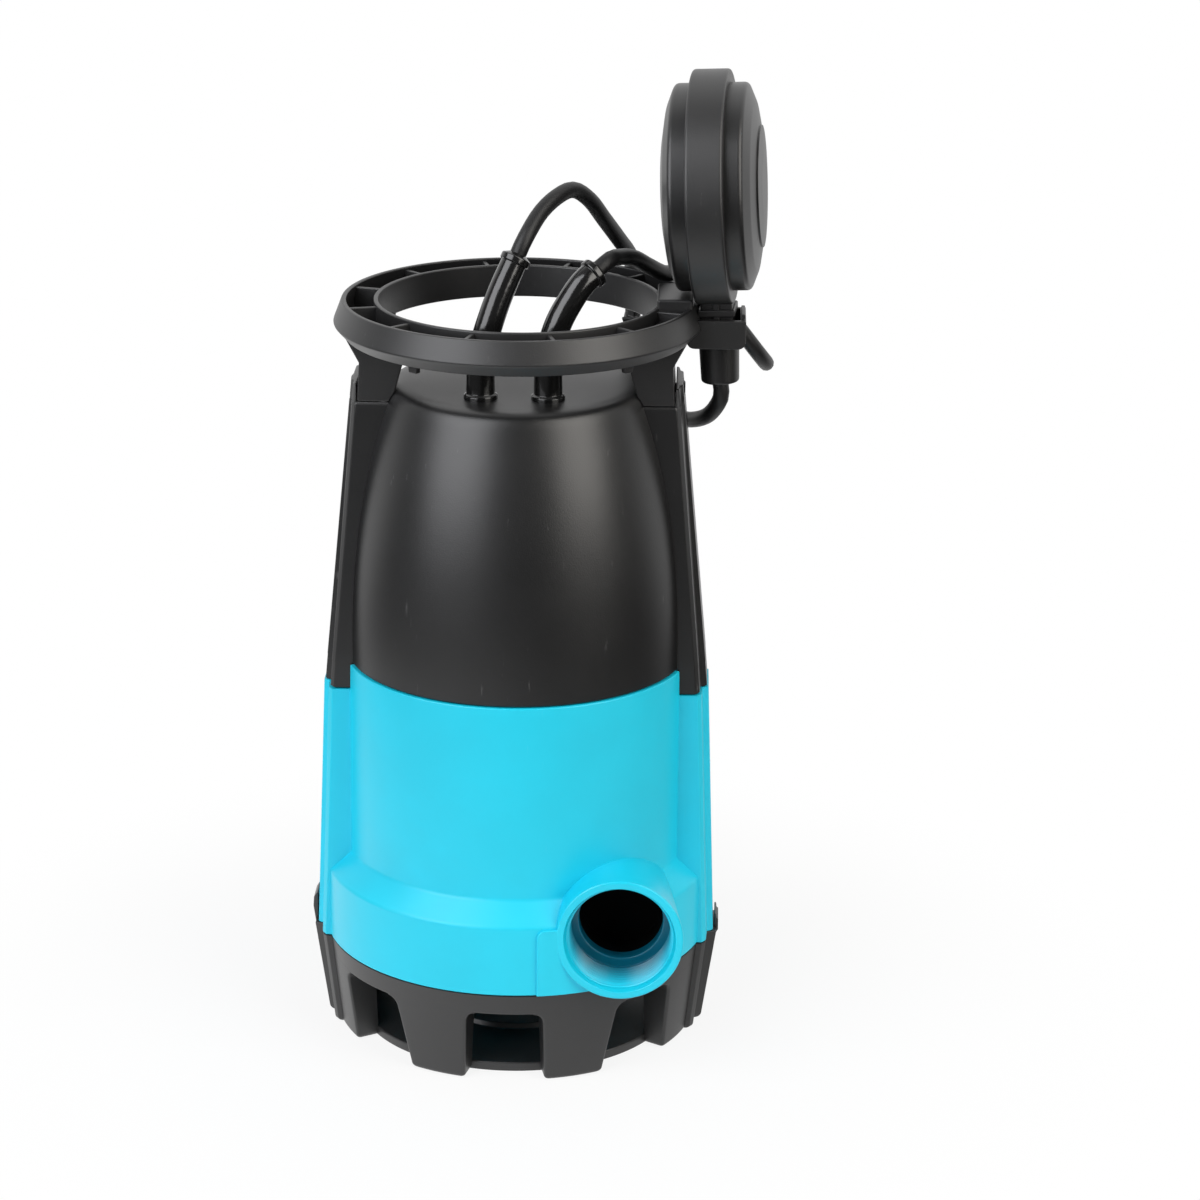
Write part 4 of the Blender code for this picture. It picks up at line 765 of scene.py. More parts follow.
def coil_points():
    """Layers that spiral in and out in turn, each climbing in the half turn where the spiral reverses."""
    inner, outer = COIL_R
    ground = COIL_FLOOR + CABLE_R
    turns = COIL_LAYER_COUNT * COIL_LAYER_TURNS
    count = round(turns * COIL_POINT_COUNT)
    found = []
    for i in range(count + 1):
        at = turns * i / count
        layer = min(COIL_LAYER_COUNT - 1, int(at / COIL_LAYER_TURNS))
        part = at / COIL_LAYER_TURNS - layer
        radius = outer - (outer - inner) * (part if layer % 2 == 0 else 1 - part)
        radius += LEAD_IN * max(0.0, 1 - at / LEAD_IN_TURNS) ** 2
        level = 0.0
        for k in range(1, COIL_LAYER_COUNT):
            level += min(1.0, max(0.0, 2 * (at - k * COIL_LAYER_TURNS) + 0.5))
        found.append(coil_spot(at, radius, ground + COIL_LAYER_RISE * level))
    entry, heading = plug_entry()
    top = found[-1].z
    tail = [found[-1]]
    for i in range(1, 6):
        part = i / 5
        radius = outer - (outer - TAIL_R) * max(0.0, 1.4 * part - 0.4) ** 2
        rise = (entry.z - top) * part**2 * (3 - 2 * part)
        tail.append(coil_spot(turns + TAIL_TURNS * part, radius, top + rise))
    tail += [entry - heading * 2 * CABLE_R, entry]
    return found + smooth_route(tail, CABLE_STEP)[1:]


class PumpOperator:
    """Shared by the operators: runs build and reports that it finished."""

    bl_options = {"REGISTER", "UNDO"}

    def execute(self, context):
        self.build(context)
        return {"FINISHED"}


class PUMP_OT_stage(PumpOperator, bpy.types.Operator):
    """Set up the camera, floor, lamps and white surroundings"""

    bl_idname = "pump.stage"
    bl_label = "Stage"

    def build(self, context):
        scene = context.scene
        scene.view_settings.view_transform = "Standard"
        made = [self.camera(scene), self.floor(scene)]
        made += [self.lamp(scene, name, *settings) for name, settings in LAMPS.items()]
        self.world(scene)

    def camera(self, scene):
        """The camera that was fitted to the photo."""
        ahead = Vector(CAMERA_AHEAD).normalized()
        right = ahead.cross(Vector((0, 0, 1))).normalized()
        up = right.cross(ahead)
        turn = Matrix((right, up, -ahead)).transposed() @ Matrix.Rotation(CAMERA_ROLL, 3, "Z")
        lens = bpy.data.cameras.new("camera")
        lens.lens = CAMERA_LENS
        made = bpy.data.objects.new("camera", lens)
        made.matrix_world = Matrix.Translation(CAMERA_AT) @ turn.to_4x4()
        scene.collection.objects.link(made)
        scene.camera = made
        return made

    def lamp(self, scene, name, low, high, width, setting, tint):
        """A soft lamp between two points that faces the pump's middle."""
        low, high = Vector(low), Vector(high)
        light = bpy.data.lights.new(name, "AREA")
        light.shape = "RECTANGLE"
        light.size, light.size_y = width, (high - low).length
        light.energy = getattr(scene.pump_stage, setting)
        light.color = tint
        made = bpy.data.objects.new(name, light)
        spot = (low + high) / 2
        back = (spot - Vector(LAMP_AIM)).normalized()
        across = (high - low).cross(back).normalized()
        turn = Matrix((across, back.cross(across), back)).transposed()
        made.matrix_world = Matrix.Translation(spot) @ turn.to_4x4()
        scene.collection.objects.link(made)
        return made

    def floor(self, scene):
        """A wide pale floor that is near white to the eye and still takes a soft shadow."""
        mesh = bpy.data.meshes.new("floor")
        corners = [(x * FLOOR_HALF, y * FLOOR_HALF, 0) for x, y in ((-1, -1), (1, -1), (1, 1), (-1, 1))]
        mesh.from_pydata(corners, [], [(0, 1, 2, 3)])
        made = bpy.data.objects.new("floor", mesh)
        paper = bpy.data.materials.new("floor_paper")
        paper.use_nodes = True
        nodes = Nodes(paper.node_tree)
        spot = nodes.add("ShaderNodeTexCoord", output="Object")
        far = nodes.add("ShaderNodeVectorMath", {"operation": "LENGTH"}, {0: spot}, "Value")
        across, along = (nodes.add("ShaderNodeSeparateXYZ", None, {0: spot}, axis) for axis in "XY")
        camera, mirror = self.seen(nodes)
        share = camera * (0.86 + far.eased(0.1, 0.34) * 0.14) + mirror
        # in a gloss it is brighter at the left, fades away from the pump and rises again behind it
        level = (1.5 - across.eased(-0.4, 0.5) * 1.35) * (1.0 - far.eased(0.3, 0.65) * 0.92)
        level = level + along.eased(0.1, 0.6) * 0.8
        glare = nodes.add("ShaderNodeCombineColor", None, {0: level, 1: level, 2: level})
        tone = nodes.mix(camera, glare, (1, 1, 1, 1))
        shade = nodes.mix(far.eased(0.3, 0.8), (0.86, 0.86, 0.86, 1), (0.3, 0.3, 0.3, 1))
        dull = nodes.add("ShaderNodeBsdfDiffuse", None, {"Color": shade})
        glow = nodes.add("ShaderNodeEmission", None, {"Color": tone, "Strength": 1.0})
        both = nodes.add("ShaderNodeMixShader", None, {0: share.at_most(1.0), 1: dull, 2: glow})
        nodes.add("ShaderNodeOutputMaterial", None, {"Surface": both})
        mesh.materials.append(paper)
        scene.collection.objects.link(made)
        return made

    def seen(self, nodes):
        """1 for rays to the camera, and 1 for rays in a gloss or through glass."""
        rays = [nodes.add("ShaderNodeLightPath", None, None, name)
                for name in ("Is Camera Ray", "Is Glossy Ray", "Is Transmission Ray")]
        return rays[0], (rays[1] + rays[2]).at_most(1.0)

    def world(self, scene):
        """White to the camera; to the pump, a pale sweep behind and a dimmer room in front."""
        world = bpy.data.worlds.new("room")
        world.use_nodes = True
        scene.world = world
        nodes = Nodes(world.node_tree)
        way = nodes.add("ShaderNodeTexCoord", output="Generated")
        ahead = nodes.add("ShaderNodeSeparateXYZ", None, {0: way}, "Y")
        camera, mirror = self.seen(nodes)
        room = 0.1 + ahead.eased(-0.1, 0.6) * 0.9
        fill = scene.pump_stage.ambient + ahead.eased(0.0, 0.7) * 0.5
        level = (1.0 - mirror) * fill + mirror * room
        level = camera + (1.0 - camera) * level
        back = nodes.add("ShaderNodeBackground", None, {"Color": (1, 1, 1, 1), "Strength": level})
        nodes.add("ShaderNodeOutputWorld", None, {"Surface": back})


class PUMP_OT_cables(PumpOperator, bpy.types.Operator):
    """Build both cables, their boots, the plug and the strap round the coil"""

    bl_idname = "pump.cables"
    bl_label = "Cables"

    def build(self, context):
        diameter = context.scene.pump_sizes.cable
        float_path = boot_path(-1, FLOAT_BOOT)
        power_path = boot_path(1, POWER_BOOT)
        self.boot("v_float_cable_boot", float_path, "float_cable_boot")
        self.boot("v_power_cable_boot", power_path, "power_cable_boot")
        self.float_cable(float_path, diameter)
        with_cord = [self.plug(), self.tie(), *self.pins()]
        self.power_cord(power_path, diameter, with_cord)

    def boot(self, name, path, node):
        """A moulded sleeve with a bead at its foot and at its end."""
        end = route_length(path)
        corners = [(share * end + offset, radius, ease) for share, offset, radius, ease in BOOT_PROFILE]
        profile = rounded(corners, 6)[1:-1]
        close = profile[:1]
        for (low, first), (high, last) in zip(profile, profile[1:]):
            count = max(1, math.ceil((high - low) / BOOT_STEP))
            close += [(low + (high - low) * i / count, first + (last - first) * i / count)
                      for i in range(1, count + 1)]
        Piece().sweep([path[0] - Vector((0, 0, 0.8))] + path[1:], close).shown(name, "boot", "pump", node)

    def float_cable(self, path, diameter):
        """The short cable from its boot over the ring to the float's gland."""
        start, out = boot_end(path)
        whole = float_frame()
        end = whole @ Vector((0, 0, GLAND_FOOT - GAP))
        down = whole.to_3x3() @ Vector((0, 0, -1))
        run = cable_path(start, out, FLOAT_ROUTE, end, down)
        profile, at = [], 0.0
        for a, b in zip(run, run[1:] + run[-1:]):
            profile.append((at, diameter / MM / 2))
            at += (b - a).length
        made = Piece().sweep(run, profile, 24).shown("v_float_cable", "cable", None, "float_cable")
        made.modifiers.clear()
        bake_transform(made)
        start * MM
        round(route_length(run) * MM, 3)
        [p * MM for p in run]

    def power_cord(self, path, diameter, with_cord):
        """The mains lead: seen as far as the holder, then down the back into the tied coil and the plug."""
        start, out = boot_end(path)
        coil = coil_points()
        ahead = (coil[0] - coil[1]).normalized()
        run = cable_path(start, out, POWER_ROUTE, coil[0], ahead)[:-1] + coil
        curve = bpy.data.curves.new("v_power_cord", "CURVE")
        curve.dimensions = "3D"
        curve.bevel_depth = diameter / 2
        curve.bevel_resolution = 4
        curve.use_fill_caps = True
        spline = curve.splines.new("POLY")
        spline.points.add(len(run) - 1)
        for slot, p in zip(spline.points, run):
            slot.co = (*(p * MM), 1.0)
        made = bpy.data.objects.new("v_power_cord", curve)
        bpy.context.scene.collection.objects.link(made)
        dressed(made, "cable", "pump", "power_cord", "power_cord_coil")
        start * MM
        round(route_length(run) * MM, 2)

    def plug_frame(self):
        """Frame with Z along the plug, from the end of its relief to the pins."""
        entry, heading = plug_entry()
        turn = heading.to_track_quat("Z", "Y").to_matrix().to_4x4()
        return Matrix.Translation(entry + heading * GAP) @ turn

    def plug(self):
        """A moulded plug with a ringed relief, a flared body and a ribbed grip."""
        neck, body = PLUG_RELIEF, PLUG_RELIEF + PLUG_BODY
        corners = [(0, 0, 0), (5.2, 0, 0.5)]
        for k in range(RELIEF_RING_COUNT):
            low = 3 + RELIEF_PITCH * k
            thick = 5.3 + 0.45 * k
            corners += [(thick, low, 0.4), (thick - 0.9, low + 0.4, 0.3), (thick - 0.8, low + 1.6, 0.3),
                        (thick + 0.2, low + 2.0, 0.4)]
        corners += [(8.2, 0.9 * neck, 1.0), (14.4, neck + 2.2, 2.0), (16.5, neck + 11.9, 3.0),
                    (PLUG_R, neck + 22.0, 3.0), (PLUG_R, body - 1.5, 1.0), (PLUG_R - 1.5, body, 1.0),
                    (0, body, 0)]
        piece = Piece(self.plug_frame()).lathe(rounded(corners), steps=64)
        for k in range(GRIP_RING_COUNT):
            low, out = neck + 23 + GRIP_PITCH * k, PLUG_R + 0.25
            ring = [(14.0, low, 0.4), (out, low, 0.4), (out, low + 1.2, 0.4), (14.0, low + 1.2, 0.4)]
            piece.lathe(rounded(ring), steps=64)
        return piece.shown("v_power_plug", "boot", "pump", "power_plug")

    def pins(self):
        """The plug's two round pins."""
        made = []
        for name, side in (("plug_pin_a", 1), ("plug_pin_b", -1)):
            place = self.plug_frame() @ Matrix.Translation((side * PIN_SIDE, 0, PLUG_RELIEF + PLUG_BODY))
            pin = Piece(place).lathe(rounded(PIN), steps=32)
            made.append(pin.shown("v_" + name, "nickel", "pump", name))
        return made

    def tie(self):
        """A strap round the coil's bundle, passing under it."""
        inner, outer = COIL_R[0] - CABLE_R - 0.6, COIL_R[1] + CABLE_R + 0.8
        low, high = COIL_FLOOR - GAP, coil_top() + GAP
        rings = []
        for grow, wide in ((0.0, -TIE_HALF), (TIE_THICK, -TIE_HALF), (TIE_THICK, TIE_HALF), (0.0, TIE_HALF)):
            ease = TIE_EASE + grow
            outline = rounded([(inner - grow, low - grow, ease), (outer + grow, low - grow, ease),
                               (outer + grow, high + grow, ease), (inner - grow, high + grow, ease)], 6)
            rings.append([(x, y, wide) for x, y in outline])
        place = Matrix.Translation((*COIL_CENTRE, 0)) @ Matrix.Rotation(TIE_ANGLE, 4, "Z")
        piece = Piece(place @ turned_about("X", 90.0)).loft(rings, ring=True)
        return piece.shown("v_cord_tie", "seal", "pump", "cord_tie")


class PUMP_OT_base(PumpOperator, bpy.types.Operator):
    """Build the slotted base with its latches and screws"""

    bl_idname = "pump.base"
    bl_label = "Base Strainer"

    def build(self, context):
        edge = context.scene.pump_sizes.edge / MM
        piece = self.hoop()
        bores = Piece()
        top = BASE_SCREW_SEAT + GAP
        bore = [(0, -1), (BASE_SCREW_BORE, -1), (BASE_SCREW_BORE, top), (0, top)]
        for x, y in BASE_SCREWS:
            bores.lathe(bore, Matrix.Translation((x, y, 0)), 32)
        for turn in (0.0, 180.0):
            for i in range(len(WINDOWS)):
                sections = [self.section(z, i, inset) for z, inset in self.levels()]
                leg = Piece(turned_about("Z", turn)).loft(sections)
                piece.include(leg.cut(bores) if i == 2 else leg)
        piece.lathe(rounded(BASE_FLOOR))
        for side, corners in LATCHES:
            outline = [(side * (LATCH_FACE + x), CASING_BOTTOM + z) for x, z in corners]
            piece.plate(outline, -LATCH_HALF, LATCH_HALF, edge, turned_about("X", 90.0))
        piece.shown("v_base_strainer", "trim", "pump", "base_strainer")
        for i, (x, y) in enumerate(BASE_SCREWS):
            place = Matrix.Translation((x, y, BASE_SCREW_SEAT)) @ turned_about("X", 180.0)
            name = f"base_screw_{i + 1}"
            screw(place, BASE_SCREW_LENGTH).shown("v_" + name, "steel", "pump", name)

    def radius(self, z):
        """Outer radius of the skirt at a height."""
        return BASE_R[0] + (BASE_R[1] - BASE_R[0]) * z / BASE_TOP

    def hoop(self):
        """The closed upper part of the skirt, with its lower edge rounded over the windows."""
        levels = ((WINDOW_TOP, 1.3), (WINDOW_TOP + 0.1, 0.8), (WINDOW_TOP + 0.4, 0.4),
                  (WINDOW_TOP + 0.8, 0.1), (WINDOW_TOP + 1.3, 0.0), (BASE_TOP - 0.5, 0.0),
                  (BASE_TOP - 0.15, 0.15), (BASE_TOP, 0.5))
        rings = [plan(z, self.radius(z) - inset, BASE_COLUMN, inset=inset) for z, inset in levels]
        for level in (BASE_TOP, WINDOW_TOP):
            rings.append([(x * CAVITY_R / math.hypot(x, y), y * CAVITY_R / math.hypot(x, y), level)
                          for x, y, _ in rings[0]])
        return Piece().loft(rings, ring=True)

    def levels(self):
        """Heights of a leg's sections with their insets: a rounded foot, then up into the hoop."""
        foot = [FOOT_EASE * share for share in (0.0, 0.04, 0.15, 0.35, 0.65, 1.0)]
        found = [(z, FOOT_EASE - math.sqrt(FOOT_EASE**2 - (FOOT_EASE - z) ** 2)) for z in foot]
        found += [(z, 0.0) for z in (9.0, 17.0, 25.0)]
        found += [(WINDOW_TOP - WINDOW_CORNER * (1 - math.sin(math.pi / 2 * i / 7)), -0.02) for i in range(8)]
        return found + [(WINDOW_TOP + 2.0, -0.02)]

    def section(self, z, number, inset):
        """Plan of a leg at one height: the leg after a window, the third one with the right column."""
        part = min(1.0, z / WINDOW_TOP)
        radius = self.radius(z) - inset
        rise = min(WINDOW_CORNER, max(0.0, z - WINDOW_TOP + WINDOW_CORNER))
        flare = WINDOW_CORNER - math.sqrt(WINDOW_CORNER**2 - rise**2)
        shift = math.degrees((flare - inset) / radius)
        edges = [[floor[k] + (top[k] - floor[k]) * part for k in (0, 1)] for top, floor in WINDOWS]
        start = edges[number][1] - shift
        stop = (edges[number + 1][0] if number < 2 else edges[0][0] + 180.0) + shift
        half, corners = column(z, BASE_COLUMN, inset)
        side = math.degrees(math.asin(half / radius))
        runs = [(start, stop)] if number < 2 else [(start, 90.0 - side), (90.0 + side, stop)]
        outer = []
        for low, high in runs:
            outer += [(radius, low + (high - low) * i / 8) for i in range(9)]
        inner = [(CAVITY_R + 0.3, stop + (start - stop) * i / 16) for i in range(17)]
        spots = [(r * math.sin(math.radians(a)), -r * math.cos(math.radians(a)), 0.0) for r, a in outer]
        if number == 2:
            spots[9:9] = corners
        spots[0] = (*spots[0][:2], 1.7)
        spots[-1] = (*spots[-1][:2], 1.7)
        spots += [(r * math.sin(math.radians(a)), -r * math.cos(math.radians(a)), 0.0) for r, a in inner]
        return [(x, y, z) for x, y in rounded(spots)]


def screw(place, shank):
    """A pan-head screw with a cross recess; its head stands on the frame's origin."""
    profile = [*SCREW_HEAD, (2.0, 1 - shank, 0), (1.2, -shank, 0), (0, -shank, 0)]
    piece = Piece(place).lathe(rounded(profile), steps=40)
    for x, y in (CROSS, CROSS[::-1]):
        piece.cut(Piece(place).block((-x, x), (-y, y), CROSS_Z, 0.1))
    return piece


class PUMP_OT_casing(PumpOperator, bpy.types.Operator):
    """Build the turquoise casing with its pad and threaded outlet"""

    bl_idname = "pump.casing"
    bl_label = "Pump Casing"

    def build(self, context):
        sizes = context.scene.pump_sizes
        foot, below, above, rim = CASING_R
        sections = [plan(CASING_BOTTOM + rise, foot - inset, CASING_COLUMN, inset=inset)
                    for rise, inset in ((0.0, 0.7), (0.2, 0.25), (0.8, 0.0))]
        bulge = rounded([(foot, CASING_BOTTOM + 0.9, 0), (below, STEP_Z[0], STEP_EASE),
                         (above, STEP_Z[1], STEP_EASE), (rim, NOTCH, 0)], 8)
        sections += [plan(z, r, CASING_COLUMN) for r, z in bulge[1:]]
        piece = Piece().loft(sections)
        hole = Piece(along_outlet()).loft([self.root_ring(HOLE_R, z) for z in HOLE_Z])
        piece.cut(hole)
        for turn in (0.0, 180.0):
            self.rim(piece, turn)
        piece.include(self.pad().cut(hole))
        piece.shown("v_pump_casing", "casing", "pump", "pump_casing")
        # the outlet wears the bore finish, which holds painted shade inside it
        self.outlet(sizes.pitch / MM, sizes.thread / MM).shown("v_outlet", "bore", "pump")
        # a near-black cup closes the bore as painted shade for the dark inside
        Piece(along_outlet()).lathe(rounded(SHADE_CUP)).shown("v_outlet_depth", "shade", "pump")

    def rim(self, piece, turn):
        """Upper edge of the casing between the columns."""
        half, _ = column(NOTCH, CASING_COLUMN)
        swing = math.pi / 2 - math.asin(half / CASING_R[3])
        inner, outer = RIM_R
        outline = rounded([(inner, NOTCH, 0), (CASING_R[3], NOTCH, 0), (outer, CASING_TOP, 0.7),
                           (inner, CASING_TOP, 0.5)])
        sections = []
        for i in range(-ARC_STEPS, ARC_STEPS + 1):
            angle = -math.pi / 2 + swing * i / ARC_STEPS
            sections.append([(r * math.cos(angle), r * math.sin(angle), z) for r, z in outline])
        piece.loft(sections, turned_about("Z", turn))

    def pad(self):
        """Raised flat beside the outlet, its upper corner rounded."""
        corner, ease = PAD_CORNER, PAD_EASE
        start = math.asin(PAD_X / PAD_R)
        whole = PAD_R * (PAD_END - start)
        steps = [0.0, 0.05, 0.15, 0.35, 0.6] + [1 + 3 * i / 5 for i in range(6)]
        steps += [corner + (whole - corner) * i / 10 for i in range(1, 11)]
        sections = []
        for run in steps:
            inset = max(0.0, ease - run)
            reach = PAD_R - (ease - math.sqrt(ease**2 - inset**2))
            high = PAD_TOP - (corner - math.sqrt(corner**2 - max(0.0, corner - run) ** 2))
            angle = start + run / PAD_R - math.pi / 2
            outline = rounded([(80, CASING_BOTTOM, 0), (reach, CASING_BOTTOM, ease), (reach, high, ease),
                               (80, high, 0)])
            sections.append([(r * math.cos(angle), r * math.sin(angle), z) for r, z in outline])
        return Piece().loft(sections)

    def outlet(self, pitch, depth):
        """The outlet's collar with a run of female thread inside its mouth, then a narrower bore."""
        steps = 128
        outer = rounded([(OUTLET_R, ROOT, 0), (OUTLET_R, MOUTH, 1.2), (MOUTH_R, MOUTH, 0.5),
                         (24.6, MOUTH - 2.2, 0.4)], 5)
        first, last = THREAD_R
        rows = [[(r, z)] * steps for r, z in outer]
        start, end = MOUTH - 2.6, THREAD_END + 2.0
        count = round((start - end) / pitch * 10)
        for i in range(count + 1):
            z = start - (start - end) * i / count
            fade = min(1.0, (start - z) / pitch, (z - end) / pitch + 0.2)
            wall = first - (first - last) * (start - z) / (start - end)
            row = []
            for k in range(steps):
                wave = 0.5 - 0.5 * math.cos(2 * math.pi * (z / pitch + k / steps))
                row.append((wall - depth * fade * wave**1.5, z))
            rows.append(row)
        inner = rounded([(last, THREAD_END + 1.5, 0), (last, THREAD_END, 0.5), (BORE_R, THREAD_END, 0.8),
                         (BORE_R, BORE_END, 0), (22.0, BORE_END - 1, 0)], 4)
        rows += [[(r, z)] * steps for r, z in inner]
        sections = []
        for row in rows:
            turns = [2 * math.pi * k / steps for k in range(steps)]
            sections.append([(r * math.cos(t), r * math.sin(t), z) for (r, z), t in zip(row, turns)])
        sections[0] = self.root_ring(*outer[0], ROOT_SLOPE, steps)
        return Piece(along_outlet()).loft(sections, ring=True)

    def root_ring(self, radius, start, slope=0.0, steps=128):
        """Ring on the outlet's outer wall, which leans toward the pump's axis behind its mouth.

        It starts at a depth on the right and lies further out on the left by twice the slope.
        """
        found = []
        for k in range(steps):
            turn = 2 * math.pi * k / steps
            z = start + slope * (1 - math.cos(turn))
            found.append((OUTLET_LEAN * (z - MOUTH) + radius * math.cos(turn), radius * math.sin(turn), z))
        return found


def flank(z):
    """Outer radius of the housing's drawn-in side."""
    part = (z - CASING_TOP) / (COLUMN_TOP - CASING_TOP)
    return HOUSING_R - FLANK_DRAW * max(0.0, part) ** FLANK_POWER


def shoulder(part):
    """Point (radius, z) of the housing's rounded shoulder, from part 0 at the flank to 1 at the plateau."""
    start = flank(SHOULDER_Z)
    corner = start + (start - flank(SHOULDER_Z - 1)) * (PLATEAU - SHOULDER_Z)
    first, middle, last = (1 - part) ** 2, 2 * SHOULDER_PULL * part * (1 - part), part**2
    whole = first + middle + last
    radius = (start * first + corner * middle + PLATEAU_R * last) / whole
    return radius, PLATEAU - (PLATEAU - SHOULDER_Z) * first / whole


class PUMP_OT_housing(PumpOperator, bpy.types.Operator):
    """Build the black motor housing with its columns and tongues"""

    bl_idname = "pump.housing"
    bl_label = "Motor Housing"

    def build(self, context):
        edge = context.scene.pump_sizes.edge / MM
        foot, ledge = NOTCH + GAP, CASING_TOP + GAP
        sections = [plan(foot, SPIGOT_R, HOUSING_COLUMN, True),
                    plan(foot, SPIGOT_R, HOUSING_COLUMN, inset=0.8),
                    plan(foot + 0.5, SPIGOT_R, HOUSING_COLUMN, inset=0.2),
                    plan(ledge, SPIGOT_R, HOUSING_COLUMN, inset=0.1),
                    plan(ledge, flank(ledge) - 0.6, HOUSING_COLUMN, inset=0.1)]
        levels = [ledge + 0.6 + (SHOULDER_Z - ledge - 0.6) * i / 18 for i in range(19)]
        sections += [plan(z, flank(z), HOUSING_COLUMN) for z in levels]
        drop = (PLATEAU - SHOULDER_Z) / (PLATEAU - COLUMN_TOP)
        cap = math.sqrt(SHOULDER_PULL**2 - 1 + drop) - SHOULDER_PULL
        cap = cap / (1 + cap)
        for step, inset in ((0.6, 0.0), (0.85, 0.2), (1.0, 0.7)):
            radius, z = shoulder(cap * step)
            sections.append(plan(z, radius, HOUSING_COLUMN, inset=inset))
        for step in range(15):
            radius, z = shoulder(cap + (1 - cap) * step / 14)
            sections.append(plan(z, radius, HOUSING_COLUMN, True))
        piece = Piece().loft(sections)
        seat = Matrix.Translation((SCREW_SEAT - GAP, 0, SCREW_Z)) @ turned_about("Y", 90.0)
        for turn in (turned_about("Z", 0.0), turned_about("Z", 180.0)):
            tongue = Piece(turn).loft([self.tongue(z) for z in TONGUE_Z], ease=edge)
            piece.include(tongue.cut(Piece(turn @ seat).lathe(SCREW_WELL)))
        piece.shown("v_motor_housing", "housing", "pump", "motor_housing")

    def tongue(self, z):
        """Plan of the tongue outside a handle leg: the column's outer skin, carried on above it."""
        (low, *first), (high, *last) = HOUSING_COLUMN
        part = (z - low) / (high - low)
        half, face, rib = (a + (b - a) * part - 0.1 for a, b in zip(first, last))
        inner = LEGS[0][2] + GAP
        side = face + 0.7 * COLUMN_CHAMFER
        start = min(half, half - COLUMN_CHAMFER * (inner - face) / (side - face))
        corners = [(inner, -start), (side, COLUMN_CHAMFER - half), (side + 0.6, -RIB_HALF - RIB_CHAMFER),
                   (rib, -RIB_HALF)]
        corners += [(x, -y) for x, y in reversed(corners)]
        return [(x, y, z) for x, y in corners]


class PUMP_OT_handle(PumpOperator, bpy.types.Operator):
    """Build the ring handle with its legs, ribs, hooks and float holder"""

    bl_idname = "pump.handle"
    bl_label = "Handle"

    def build(self, context):
        sizes = context.scene.pump_sizes
        edge = sizes.edge / MM
        piece = Piece().lathe(rounded(RING), steps=180)
        for i in range(sizes.ribs):
            piece.block(*RIB, turned_about("Z", 360.0 * (i + 0.5) / sizes.ribs))
        middle, wide, narrow, thick, foot, top = HOOK
        for angle in HOOK_ANGLES:
            sections = [[(middle - thick / 2, -w / 2, z), (middle + thick / 2, -w / 2, z),
                         (middle + thick / 2, w / 2, z), (middle - thick / 2, w / 2, z)]
                        for w, z in ((narrow, foot), (wide, top))]
            piece.loft(sections, turned_about("Z", angle), edge)
        under = [(radius + GAP, z + GAP) for radius, z in (shoulder(i / 12) for i in range(13))]
        under = Piece().lathe([(0, SHOULDER_Z - 5), (under[0][0], SHOULDER_Z - 5), *under, (0, under[-1][1])])
        for turn, back in LEG_TURNS:
            sections = [self.leg(*section, back) for section in LEGS]
            piece.include(Piece(turned_about("Z", turn)).loft(sections, ease=edge).cut(under))
        for x, y, z, ease in HANDLE_BLOCKS.values():
            piece.block(x, y, z, ease or edge)
        piece.include(self.holder())
        piece.shown("v_handle", "trim", "pump", "handle")
        for name, side in (("handle_screw_right", 1), ("handle_screw_left", -1)):
            place = Matrix.Translation((side * SCREW_SEAT, 0, SCREW_Z)) @ turned_about("Y", side * 90.0)
            screw(place, SCREW_LENGTH).shown("v_" + name, "bolt", "pump", name)

    def leg(self, z, inner, outer, back):
        """Channel section of a leg, open toward the pump's axis; one wall may stand back."""
        half, wall = LEG_HALF, LEG_WALL
        return [(inner + back, -half, z), (outer, -half, z), (outer, half, z), (inner, half, z),
                (inner, half - wall, z), (outer - wall, half - wall, z), (outer - wall, wall - half, z),
                (inner + back, wall - half, z)]

    def holder(self):
        """Pocket for the float's neck, bored for its gland."""
        piece = Piece().plate(rounded(HOLDER, 6), -HOLDER_HALF, HOLDER_HALF, HOLDER_EASE,
                              turned_about("X", 90.0))
        piece.cut(Piece().block(*POCKET))
        return piece.cut(Piece(float_frame()).lathe(GLAND_BORE, steps=64))


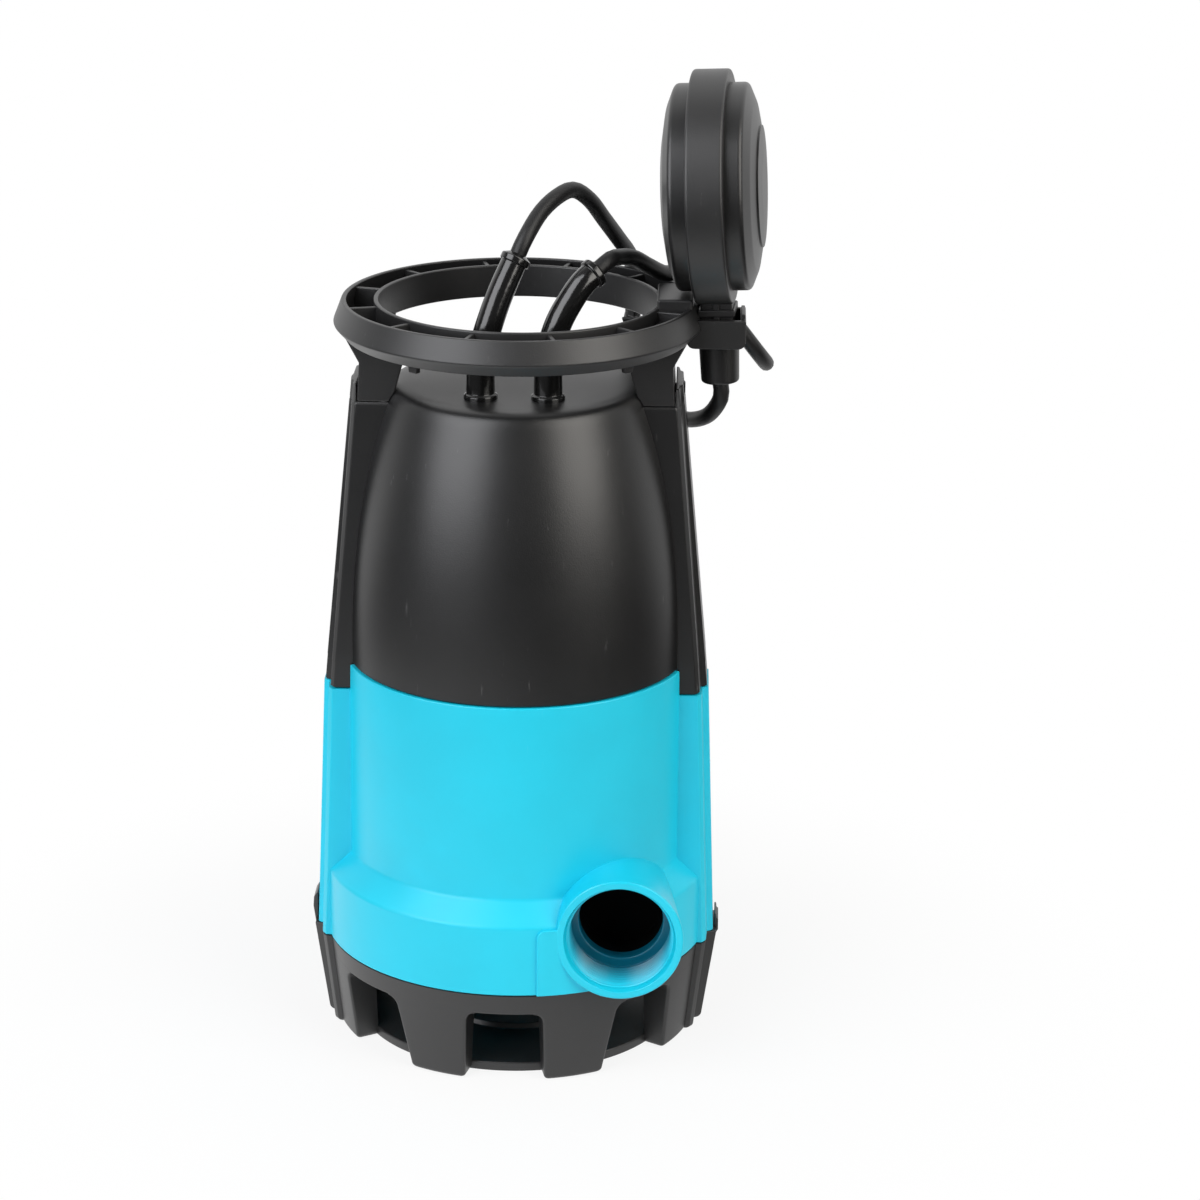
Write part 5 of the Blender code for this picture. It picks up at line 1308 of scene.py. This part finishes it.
class PUMP_OT_float(PumpOperator, bpy.types.Operator):
    """Build the float switch: two shells, band, neck and gland"""

    bl_idname = "pump.float"
    bl_label = "Float"

    def build(self, context):
        axle = float_frame() @ Matrix.Translation((0, 0, FLOAT_CENTRE)) @ turned_about("Y", 90.0)
        flip = axle @ turned_about("X", 180.0)
        rim = rounded(SHELL_RIM, 6)
        for name, place, face in (("float_shell_right", axle, rounded(DISC_FACE)),
                                  ("float_shell_left", flip, rounded(PLAIN_FACE)[1:])):
            shell = Piece(place).lathe([(0, SHELL_BACK), *rim, *face])
            shell.shown("v_" + name, "float", "float", name)
        hoop = rounded([(SHELL_R - 1, -BAND_HALF, 0), (BAND_R, -BAND_HALF, BAND_EASE),
                        (BAND_R, BAND_HALF, BAND_EASE), (SHELL_R - 1, BAND_HALF, 0)], 5)
        band = Piece(axle).lathe(hoop, steps=180)
        band.place = float_frame()
        for bounds in NECK:
            band.block(*bounds)
        band.shown("v_float_band", "trim", "float", "float_band")
        gland = Piece(float_frame()).lathe(rounded(GLAND, 5), steps=96)
        gland.shown("v_float_gland", "float", "float", "float_gland")


class PUMP_OT_inner(PumpOperator, bpy.types.Operator):
    """Paint the parts inside the pump"""

    bl_idname = "pump.inner"
    bl_label = "Inner Parts"

    def build(self, context):
        for name, kind in FINISH_OF.items():
            node = bpy.data.objects[name]
            node.data.materials.clear()
            node.data.materials.append(finish(kind))


class PUMP_PT_panel(bpy.types.Panel):
    """Lists the pump's settings and builders"""

    bl_idname = "PUMP_PT_panel"
    bl_label = "Sump Pump"
    bl_space_type = "VIEW_3D"
    bl_region_type = "UI"
    bl_category = "Sump Pump"

    def draw(self, context):
        """Lists every setting, then a button for each builder."""
        for group in (context.scene.pump_colours, context.scene.pump_sizes, context.scene.pump_stage):
            box = self.layout.box()
            for name in group.bl_rna.properties.keys():
                if name not in ("rna_type", "name"):
                    box.prop(group, name)
        for operator in OPERATORS:
            self.layout.operator(operator.bl_idname)


GROUPS = {"pump_colours": PumpColours, "pump_sizes": PumpSizes, "pump_stage": PumpStage}
OPERATORS = (PUMP_OT_stage, PUMP_OT_cables, PUMP_OT_base, PUMP_OT_casing, PUMP_OT_housing, PUMP_OT_handle,
             PUMP_OT_float, PUMP_OT_inner)
CLASSES = (*GROUPS.values(), *OPERATORS, PUMP_PT_panel)


def register():
    """Adds the classes, and the settings to the scene."""
    for cls in CLASSES:
        bpy.utils.register_class(cls)
    for name, group in GROUPS.items():
        setattr(bpy.types.Scene, name, PointerProperty(type=group))


def unregister():
    """Takes away what register added."""
    for name in GROUPS:
        delattr(bpy.types.Scene, name)
    for cls in reversed(CLASSES):
        bpy.utils.unregister_class(cls)


def main():
    """Builds the pump piece by piece."""
    register()
    bpy.ops.pump.stage()
    bpy.ops.pump.cables()
    bpy.ops.pump.base()
    bpy.ops.pump.casing()
    bpy.ops.pump.housing()
    bpy.ops.pump.handle()
    bpy.ops.pump.float()
    bpy.ops.pump.inner()


if __name__ == "__main__":
    main()
